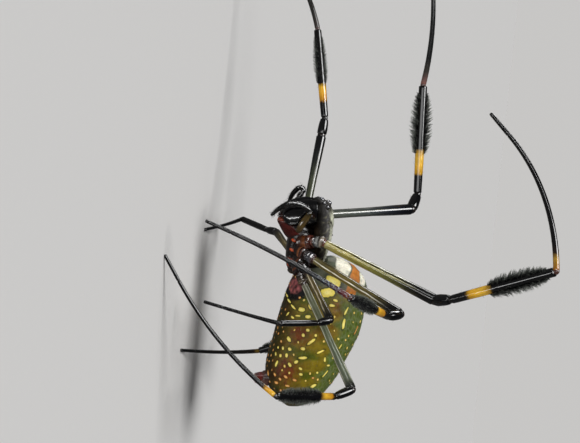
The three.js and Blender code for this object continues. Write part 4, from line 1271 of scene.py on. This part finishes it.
# spots on the left side: along the back in mm, degrees round from the flank (up is plus),
# half length, half width, and tilt from the long axis
spots = {
    "yellow": [
        (12.5, -48, 0.44, 0.26, 65), (11.2, -26, 0.25, 0.22, 20), (10.6, -8, 0.2, 0.18, 15),
        (11.7, -11, 0.75, 0.2, -35), (13.0, -20, 0.35, 0.22, 100), (12.7, 8, 0.65, 0.15, -50),
        (14.2, -14, 0.65, 0.2, -65), (15.1, -22, 0.35, 0.2, -40), (15.8, -30, 0.32, 0.22, 55),
        (16.5, -54, 0.55, 0.2, -15), (14.2, -64, 0.2, 0.15, 70), (14.0, -53, 0.25, 0.2, 30),
        (13.8, -40, 0.3, 0.22, 90), (15.3, -64, 0.25, 0.2, 25), (15.1, -52, 0.25, 0.22, 25),
        (14.8, -41, 0.28, 0.24, 25), (15.9, -11, 0.28, 0.18, 75), (16.7, -6, 0.28, 0.2, 95),
        (15.8, 16, 0.2, 0.18, 25), (15.9, 30, 0.65, 0.13, -20), (18.0, 22, 0.5, 0.25, -40),
        (13.7, 19, 0.4, 0.15, 20), (14.5, 28, 0.3, 0.15, 100), (13.3, 30, 0.2, 0.18, 25),
        (11.4, 34, 0.4, 0.12, -20), (10.4, 25, 0.25, 0.15, 75), (6.4, 26, 0.7, 0.15, -20),
        (8.2, 26, 0.75, 0.22, 0), (8.5, -27, 0.38, 0.25, 100), (7.8, -40, 0.5, 0.3, 95),
        (7.0, -26, 0.5, 0.35, 40), (8.8, -44, 0.45, 0.12, 100), (9.4, -52, 0.35, 0.15, 80),
        (9.2, -64, 0.4, 0.15, -35), (10.2, -22, 0.28, 0.2, 90), (5.3, 8, 0.35, 0.18, 85),
        (6.0, 4, 0.45, 0.2, 95), (7.0, -84, 0.55, 0.14, 78), (7.45, -71, 0.62, 0.15, 74),
        (7.95, -57, 0.6, 0.14, 68), (2.9, -4, 1.1, 0.62, 86), (4.5, -6, 1.05, 0.6, 120),
    ],
    "orange": [
        (16.9, -90, 0.25, 0.2, 45), (18.5, -77, 0.45, 0.25, 5), (18.1, -53, 0.28, 0.22, 60),
        (18.4, -40, 0.25, 0.2, 50), (17.8, -31, 0.32, 0.22, 80), (17.8, -13, 0.3, 0.2, 100),
        (19.2, -48, 0.35, 0.22, 100), (19.6, -72, 0.28, 0.15, 100), (19.0, -23, 0.35, 0.18, 100),
        (15.9, -76, 0.2, 0.18, 35), (16.8, 14, 0.22, 0.15, 90), (8.8, 53, 0.8, 0.12, -20),
        (4.0, -82, 0.4, 0.15, 50), (13.2, -62, 0.2, 0.18, 25),
    ],
    "scatter": 230,   # small dots where the placed ones leave room, on both sides
    "jitter": 0.45,   # how far a spot of the right side strays from its twin, in mm
}


def clearOfHead(grid):
    # draws the front in where the head block and the hips stand against it
    local = grid.copy()
    stations, front = carapace["stations"], carapace["front"]
    for _ in range(24):
        head = toHead(fromRear(local))
        x, along, z = np.abs(head[..., 0]), head[..., 1] - front, head[..., 2]
        where = np.clip(along, 0.01, 9.99)
        half, top = (stationAt(stations, where, k) for k in (1, 2))
        inside = (along > 0) & (along < 10.2) & (x < half + 0.25) & (z < top + 0.25) & (z > -3.2)
        if not inside.any():
            break
        local[inside] = local[inside] * [0.97, 0.985, 0.97] + np.array([0, 0.12, 0])
    return local


def abdomenGrid():
    # shallow folds and soft dents, and paired pits along the back
    body = loft(abdomen["stations"], -abdomen["length"] / 2, abdomen["rings"], abdomen["sides"],
                abdomen["shape"], 0.05)
    grid = body["grid"]
    x, y, z = grid[..., 0], grid[..., 1], grid[..., 2]
    lift = 0.05 * ripple(grid * [1, 0.45, 1], 3.2, 11) + 0.02 * ripple(grid, 1.1, 12)
    for along in abdomen["pits"]:
        pit = ((np.abs(x) - 1.5) / 0.3) ** 2 + ((y + abdomen["length"] / 2 - along) / 0.35) ** 2
        lift = lift - 0.12 * np.exp(-pit) * (z > 0)
    body["grid"] = clearOfHead(grid + gridNormals(grid) * lift[..., None])
    return body


def sideAngle(angles):
    # degrees from the flank, the same on both sides: up is plus
    degrees = wrapped(np.degrees(angles))
    return np.where(degrees > 90, 180 - degrees, np.where(degrees < -90, -180 - degrees, degrees))


def spotList():
    # every spot as along, degrees all the way round, half length, half width, tilt, warmth
    rng = np.random.default_rng(77)
    rows = []
    for warmth, kind in enumerate(("yellow", "orange")):
        for along, around, longer, wider, tilt in spots[kind]:
            rows.append((along, around, longer, wider, tilt, warmth))
            stray = rng.normal(0, spots["jitter"], 2)
            rows.append((along + stray[0], 180 - around + stray[1] * 10, longer * rng.uniform(0.8, 1.2),
                         wider, -tilt + rng.normal(0, 15), warmth))
    target = len(rows) + spots["scatter"]
    for _ in range(6000):
        if len(rows) == target:
            break
        along, around = rng.uniform(5.2, 21.3), rng.uniform(-180, 180)
        room = [np.hypot(along - row[0], wrapped(around - row[1]) * 0.09) - row[2] for row in rows]
        if min(room) > 0.5:
            warmth = 0.35 + 0.65 * (-np.sin(np.radians(around)) > 0.75 or along > 17.5)
            longer, wider, tilt = rng.uniform(0.12, 0.24), rng.uniform(0.1, 0.17), rng.uniform(-40, 40)
            rows.append((along, around, longer, wider, tilt, warmth))
    return rows


def spotFields(grid, along):
    # how deep each point lies in its nearest spot (0 at the spot's edge), and how warm that spot is
    rings, sides = grid.shape[:2]
    deep, warm = np.full((rings, sides), -1.0), np.zeros((rings, sides))
    for place, around, longer, wider, tilt, warmth in spotList():
        i = int(np.clip(np.searchsorted(along, place), 1, rings - 2))
        j = int(round((around % 360) / 360 * sides)) % sides
        centre = grid[i, j]
        ahead = unit(grid[i + 1, j] - grid[i - 1, j])
        sideways = unit(grid[i, (j + 1) % sides] - grid[i, j - 1])
        t = np.radians(tilt)
        main, cross = ahead * np.cos(t) + sideways * np.sin(t), sideways * np.cos(t) - ahead * np.sin(t)
        rows, columns = np.nonzero(np.linalg.norm(grid - centre, axis=-1) < longer * 2.4 + 0.1)
        offset = grid[rows, columns] - centre
        a, b = np.abs(offset @ main) / longer, np.abs(offset @ cross) / wider
        power = 4 if longer > 0.9 else 2.4   # the large patches are nearly square
        depth = 1 - (a ** power + b ** power) ** (1 / power)
        better = depth > deep[rows, columns]
        deep[rows[better], columns[better]] = depth[better]
        warm[rows[better], columns[better]] = warmth
    return deep, warm


def abdomenColour(grid, along, angles):
    a = np.broadcast_to(along[:, None], grid.shape[:2])
    side = sideAngle(np.broadcast_to(angles, grid.shape[:2]))
    wave = ripple(grid, 2.6, 21)
    fine = ripple(grid, 0.8, 22)
    layers = [("oliveDark", smooth(-0.2, 0.9, wave))]
    for place, around, radius, strength in abdomen["clouds"]:
        away = ((a - place) / radius) ** 2 + ((side - around) * 0.09 / radius) ** 2
        layers.append(("red", np.clip(np.exp(-away + 0.5 * fine) * strength, 0, 0.9)))
    green = smooth(12, 34, side + 7 * wave)
    # bands across the front, by height on the front face
    z = grid[..., 2] + 0.15 * wave + 0.1 * (a - 1)
    front = smooth(4.9, 3.7, a + 0.5 * fine)
    # the lung cover: a black ring round a pink and maroon middle
    place, around, longer, wider = abdomen["lung"]
    lung = np.hypot((a - place) / longer, (side - around) * 0.085 / wider) + 0.08 * fine
    layers += [
        ("green", green * 0.9),
        ("belly", smooth(-26, -80, side + 10 * wave) * 0.9),
        ("belly", smooth(18.2, 21.5, a + 0.5 * wave) * 0.7),
        ("grey", front * 0.85),
        ("white", smooth(-0.5, -0.2, z) * smooth(1.85, 1.65, z) * smooth(2.7, 2.2, a + 0.2 * fine)),
        ("orange", smooth(1.95, 2.1, z) * smooth(3.75, 3.6, z) * front),
        ("white", smooth(3.7, 3.85, z) * smooth(5.0, 4.7, z) * smooth(3.3, 2.6, a)),
        ("black", smooth(1.1, 0.95, lung)),
        ("pink", smooth(0.68, 0.5, lung) * (0.6 + 0.4 * fine)),
    ]
    return layered(abdomen, "olive", layers), green * (1 - front * 0.7)


def abdomenMaterial():
    # satin skin: mottled ground, pale net on the back, raised spots with dark green rims
    look = {
        "mottleScale": 1300, "netScale": 1700, "wobbleScale": 2600, "wrinkleScale": 5200,
        "gloss": (0.38, 0.56), "net": "6c7650", "rim": "16220e",
        "yellow": "e4cf58", "orange": "d88c3c", "core": "f2e8a0",
    }
    material, tree, shader, where = startMaterial("abdomenSkin", {
        "Specular IOR Level": 0.22, "Coat Weight": 0.02, "Coat Roughness": 0.25,
        "Subsurface Weight": 0.06, "Subsurface Scale": 0.0004,
    })
    mottle = noiseOf(tree, where, look["mottleScale"], 6.0, 0.65)
    ground = scaled(tree, fieldOf(tree, "tint", "Color"), spread(tree, mottle, 0.62, 1.4))
    stretched = addNode(tree, "Mapping", {"Vector": where, "Scale": (1.0, 0.6, 1.0)}).outputs["Vector"]
    cells = {"Vector": stretched, "Scale": look["netScale"]}
    edge = addNode(tree, "TexVoronoi", cells, feature="DISTANCE_TO_EDGE").outputs["Distance"]
    lines = spread(tree, edge, 0.6, 0.0, 0.02, 0.16)
    netAmount = mathOf(tree, "MULTIPLY", lines, fieldOf(tree, "net", "Fac"))
    ground = mixed(tree, ground, rgba(look["net"]), netAmount)
    wobble = spread(tree, noiseOf(tree, where, look["wobbleScale"], 3.0), -0.16, 0.16, 0.25, 0.75)
    depth = mathOf(tree, "ADD", fieldOf(tree, "spot", "Fac"), wobble)
    rim = spread(tree, depth, 0.0, 0.75, -0.5, -0.12)
    inside = spread(tree, depth, 0.0, 1.0, -0.05, 0.1)
    core = spread(tree, depth, 0.0, 0.6, 0.25, 0.8)
    colour = mixed(tree, rgba(look["yellow"]), rgba(look["orange"]), fieldOf(tree, "warm", "Fac"))
    colour = mixed(tree, colour, rgba(look["core"]), core)
    ground = mixed(tree, ground, rgba(look["rim"]), rim)
    tree.links.new(mixed(tree, ground, colour, inside), shader.inputs["Base Color"])
    tree.links.new(spread(tree, mottle, *look["gloss"]), shader.inputs["Roughness"])
    wrinkles = noiseOf(tree, stretched, look["wrinkleScale"], 4.0, 0.6)
    bumped(tree, shader, [(mottle, 0.3, 0.00006), (wrinkles, 0.35, 0.00002), (inside, 0.5, 0.00004)])
    return material


def addAbdomen():
    body = abdomenGrid()
    grid = body["grid"]
    normals = gridNormals(grid)
    deep, warm = spotFields(grid, body["along"])
    colour, net = abdomenColour(grid, body["along"], body["angles"])
    grid = grid + normals * (0.025 * smooth(-0.1, 0.4, deep))[..., None]
    points, faces = closedGrid(grid, flip=True)
    fields = {"tint": colour, "spot": deep, "warm": warm, "net": net}
    fields = {name: gridField(values) for name, values in fields.items()}
    addPiece("abdomen_skin", fromRear(points), faces, abdomenMaterial(), ["abdomen"], fields)
    # short sparse hairs that lie backwards
    rng = np.random.default_rng(41)
    rings, sides = grid.shape[:2]
    count = abdomen["hairs"]
    place = rng.uniform(0.5, 22.0, count)
    ring = np.clip(np.searchsorted(body["along"], place), 1, rings - 2)
    side = rng.integers(0, sides, count)
    roots, out = grid[ring, side], normals[ring, side]
    back = unit(np.array([[0, 1.0, 0]]) - out * out[:, 1:2])
    ways = unit(back + out * rng.uniform(0.3, 0.9, count)[:, None] + rng.normal(0, 0.1, (count, 3)))
    dark, pale = (paint(code) for code in abdomen["hair"])
    tints = mix(dark, pale, rng.random(count) ** 2)
    places = np.stack([ring / rings, side / sides], 1)
    lengths, width = rng.uniform(*abdomen["hairLength"], count), abdomen["hairWidth"]
    group = bodyHairs(rearTurn, rearPlace, roots, ways, out, 0.15, lengths, width, places, tints)
    addHairs("abdomen_hairs", [group], silverHair)


addAbdomen()
print("abdomen: skin, spots and hairs")

spinnerets = {
    "place": (0, 8.3, -4.95), "down": (0, 0.25, -1), "length": 1.5, "radius": 0.4,
    "cones": [(0.42, -0.4, 1.0), (0.4, 0.48, 0.9), (0.16, 0.02, 0.7)],
    "mound": [(0, "2a1410"), (0.5, "4e342e"), (1, "5c423a")],
    "cone": [(0, "5a3a34"), (0.55, "6a201a"), (0.8, "4a120c"), (1, "7a5a50")],
    "moundRadii": [1.2, 1.15, 1.05, 0.9], "taper": (0.95, 1, 0.9, 0.82, 0.6, 0.45),
}
waist = {
    "radii": (0.78, 0.7, 0.66, 0.7, 0.84), "stops": [(0, "1a0e0a"), (0.5, "3a1c12"), (1, "1a0e0a")],
    "from": (0, 3.9, -0.2), "to": (0, -8.4, -2.2),   # in the axes of the head and of the abdomen
}


def addSpinnerets():
    base, down = np.array(spinnerets["place"], float), unit(np.array(spinnerets["down"], float))
    line = np.linspace(base - down * 0.8, base + down * 0.5, 8)
    mound = tube(line, spinnerets["moundRadii"], lip=0.35, sides=40, spacing=0.05)
    parts = [painted(mound, paintAlong(mound["share"], spinnerets["mound"]))]
    for x, y, share in spinnerets["cones"]:
        for sign in (1, -1):
            start = base + np.array([sign * x, y, 0])
            end = start + down * spinnerets["length"] * share
            radii = [spinnerets["radius"] * r * (0.6 + 0.4 * share) for r in spinnerets["taper"]]
            cone = tube(np.linspace(start, end, 10), radii, lip=0.1, spacing=0.05)
            parts.append(painted(cone, paintAlong(cone["share"], spinnerets["cone"])))
    points, faces, fields = joined(parts)
    addPiece("spinnerets_skin", fromRear(points), faces, bodyShell, ["spinnerets"], fields)


def addWaist():
    line = np.linspace(fromHead(waist["from"]), fromRear(waist["to"]), 10)
    stalk = tube(line, waist["radii"], lip=0.2, sides=30, spacing=0.08)
    painted(stalk, paintAlong(stalk["share"], waist["stops"]))
    addPiece("pedicel_skin", stalk["points"], stalk["faces"], bodyShell, ["pedicel"],
             stalk["fields"])


addSpinnerets()
addWaist()
print("waist and spinnerets")

studio = {
    "floorSize": 8.0,          # metres
    "floorColour": (0.8, 0.79, 0.775),
    "floorGrain": 900,
    "horizon": (0.574, 0.567, 0.557),
    "zenith": (0.16, 0.165, 0.175),
    "ambient": 0.62,           # how much of the sky lights the scene, beside what is seen of it
    "glint": 0.18,             # how much of it shows in gloss
    "sun": {"strength": 2.3, "angle": 30, "from": (0.45, -0.35, 0.85)},
    # soft boxes that light the spider alone: power, width, height, way from the head block, distance in
    # metres, and the groups of pieces they light
    "boxes": {
        "front": (0.3, 0.016, 0.34, (1.0, -0.05, 0.05), 0.3, ("near", "shiny")),
        "farFront": (0.26, 0.09, 0.34, (1.0, -0.05, 0.05), 0.3, ("far",)),
        "top": (0.15, 0.1, 0.1, (0.2, -0.3, 0.93), 0.3, ("near", "shiny", "far", "jaws")),
        "rim": (0.45, 0.03, 0.26, (-0.45, -0.82, 0.3), 0.32, ("near", "shiny")),
        "low": (0.12, 0.03, 0.12, (0.55, 0.3, -0.78), 0.3, ("near", "shiny", "far", "jaws")),
    },
    # strips that only show as hard glints, in the same order
    "glints": {
        "key": (3.0, 0.12, 0.45, (0.65, -0.6, 0.15), 0.3, ("shiny",)),
        "spark": (0.3, 0.014, 0.4, (0.65, -0.6, 0.15), 0.3, ("near",)),
        "jawLine": (0.36, 0.009, 0.3, (0.85, 0.55, 0.0), 0.3, ("jaws",)),
    },
}
# pieces that the lamps light each in their own way, by how their names begin or end; the rest are "near"
lampGroups = {
    "jaws": ("chelicera_left_skin", "chelicera_right_skin"),
    "far": ("right_leg_",),
    "shiny": ("_hip", "_lens", "palp_left_skin", "palp_right_skin"),
}


def addFloor():
    size, steps = studio["floorSize"], 40
    ways = np.linspace(-1, 1, steps + 1)
    across, ahead = np.meshgrid(ways, ways, indexing="ij")
    points = np.stack([across * size / 2, ahead * size / 2, np.zeros_like(across)], -1).reshape(-1, 3) / mm
    i, j = np.meshgrid(np.arange(steps), np.arange(steps), indexing="ij")
    a = (i * (steps + 1) + j).ravel()
    b, c, d = a + 1, a + steps + 2, a + steps + 1
    faces = np.concatenate([np.stack([a, d, c], 1), np.stack([a, c, b], 1)])
    sockets = {"Roughness": 0.85, "Specular IOR Level": 0.1}
    material, tree, shader, where = startMaterial("paleFloor", sockets)
    grain = noiseOf(tree, where, studio["floorGrain"], 4.0)
    colour = studio["floorColour"]
    darker = [value * 0.985 for value in colour]
    tree.links.new(mixed(tree, (*colour, 1), (*darker, 1), grain), shader.inputs["Base Color"])
    bumped(tree, shader, [(grain, 0.08, 0.00005)])
    floor = buildMesh("floor", points, faces, material, collection=bpy.context.scene.collection)
    floor.visible_glossy = False      # black shell stays black above the pale floor


def addWorld():
    world = bpy.data.worlds.new("studio")
    bpy.context.scene.world = world
    world.use_nodes = True
    tree = world.node_tree
    way = addNode(tree, "TexCoord").outputs["Generated"]
    height = addNode(tree, "SeparateXYZ", {"Vector": way}).outputs["Z"]
    factor = spread(tree, height, 0.0, 1.0, 0.12, 0.7)
    colour = mixed(tree, (*studio["horizon"], 1), (*studio["zenith"], 1), factor)
    rays = addNode(tree, "LightPath").outputs
    seen = spread(tree, rays["Is Camera Ray"], studio["ambient"], 1, 0, 1)
    inGloss = spread(tree, rays["Is Glossy Ray"], 1, studio["glint"] / studio["ambient"], 0, 1)
    background = tree.nodes["Background"].inputs
    tree.links.new(colour, background["Color"])
    tree.links.new(mathOf(tree, "MULTIPLY", seen, inGloss), background["Strength"])


def aimed(name, light, place, target):
    # a lamp at a place that shines on a target, its height along the world's up
    lamp = bpy.data.objects.new(name, light)
    lamp.location = place
    lamp.rotation_mode = "QUATERNION"
    lamp.rotation_quaternion = (Vector(place) - Vector(target)).to_track_quat("Z", "Y")
    bpy.context.scene.collection.objects.link(lamp)
    return lamp


def lampGroup(name):
    for group, marks in lampGroups.items():
        if name.startswith(marks) or name.endswith(marks):
            return group
    return "near"


def addBox(name, box):
    power, width, height, way, away, groups = box
    lit = bpy.data.collections.new(f"{name}Lit")
    for piece in spiderPieces.objects:
        if lampGroup(piece.name) in groups:
            lit.objects.link(piece)
    target = headPlace * mm
    light = bpy.data.lights.new(name, "AREA")
    light.shape = "RECTANGLE"
    light.size, light.size_y = width, height
    light.energy = power
    lamp = aimed(name, light, target + unit(np.array(way)) * away, target)
    lamp.visible_camera = False
    lamp.light_linking.receiver_collection = lit
    lamp.light_linking.blocker_collection = spiderPieces
    return lamp


def addLights():
    sun = bpy.data.lights.new("sun", "SUN")
    sun.energy = studio["sun"]["strength"]
    sun.angle = np.radians(studio["sun"]["angle"])
    aimed("sun", sun, studio["sun"]["from"], (0, 0, 0))
    for name, box in studio["boxes"].items():
        addBox(name, box)
    for name, box in studio["glints"].items():
        lamp = addBox(name, box)
        lamp.visible_diffuse = False
        lamp.visible_transmission = False


cameraView = {
    "dip": 7,               # degrees the view looks down on the spider's side
    "roll": 6,              # degrees past the quarter turn that stands the head up in the frame
    "away": 260.0,          # mm
    "focus": 1820.0,        # focal length in pixels of a frame 580 wide
    "size": (580, 443),
    "sensor": 36,           # mm
    "clip": (0.01, 50),     # metres
    "head": (311, 234),     # pixel where the middle of the head block lies
}


def addCamera():
    dip, roll = np.radians(cameraView["dip"]), np.radians(cameraView["roll"])
    look = np.array([-np.cos(dip), 0, -np.sin(dip)])
    rise = np.array([-np.sin(dip), 0, np.cos(dip)])
    ahead = np.array([0, -1.0, 0])
    right = np.cos(roll) * rise + np.sin(roll) * ahead
    down = np.sin(roll) * rise - np.cos(roll) * ahead
    width, height = cameraView["size"]
    scale = cameraView["focus"] / cameraView["away"]
    x = (cameraView["head"][0] - width / 2) / scale
    y = (cameraView["head"][1] - height / 2) / scale
    place = headPlace - (x * right + y * down) - look * cameraView["away"]
    camera = bpy.data.cameras.new("camera")
    camera.sensor_width = cameraView["sensor"]
    camera.sensor_fit = "HORIZONTAL"
    camera.lens = cameraView["focus"] / width * camera.sensor_width
    camera.clip_start, camera.clip_end = cameraView["clip"]
    stand = bpy.data.objects.new("camera", camera)
    basis = np.eye(4)
    basis[:3, 0], basis[:3, 1], basis[:3, 2], basis[:3, 3] = right, -down, -look, place * mm
    stand.matrix_world = Matrix(basis.tolist())
    bpy.context.scene.collection.objects.link(stand)
    bpy.context.scene.camera = stand


addFloor()
addWorld()
addLights()
addCamera()
bpy.context.scene.view_settings.view_transform = "Standard"
print("studio: floor, lights and camera")
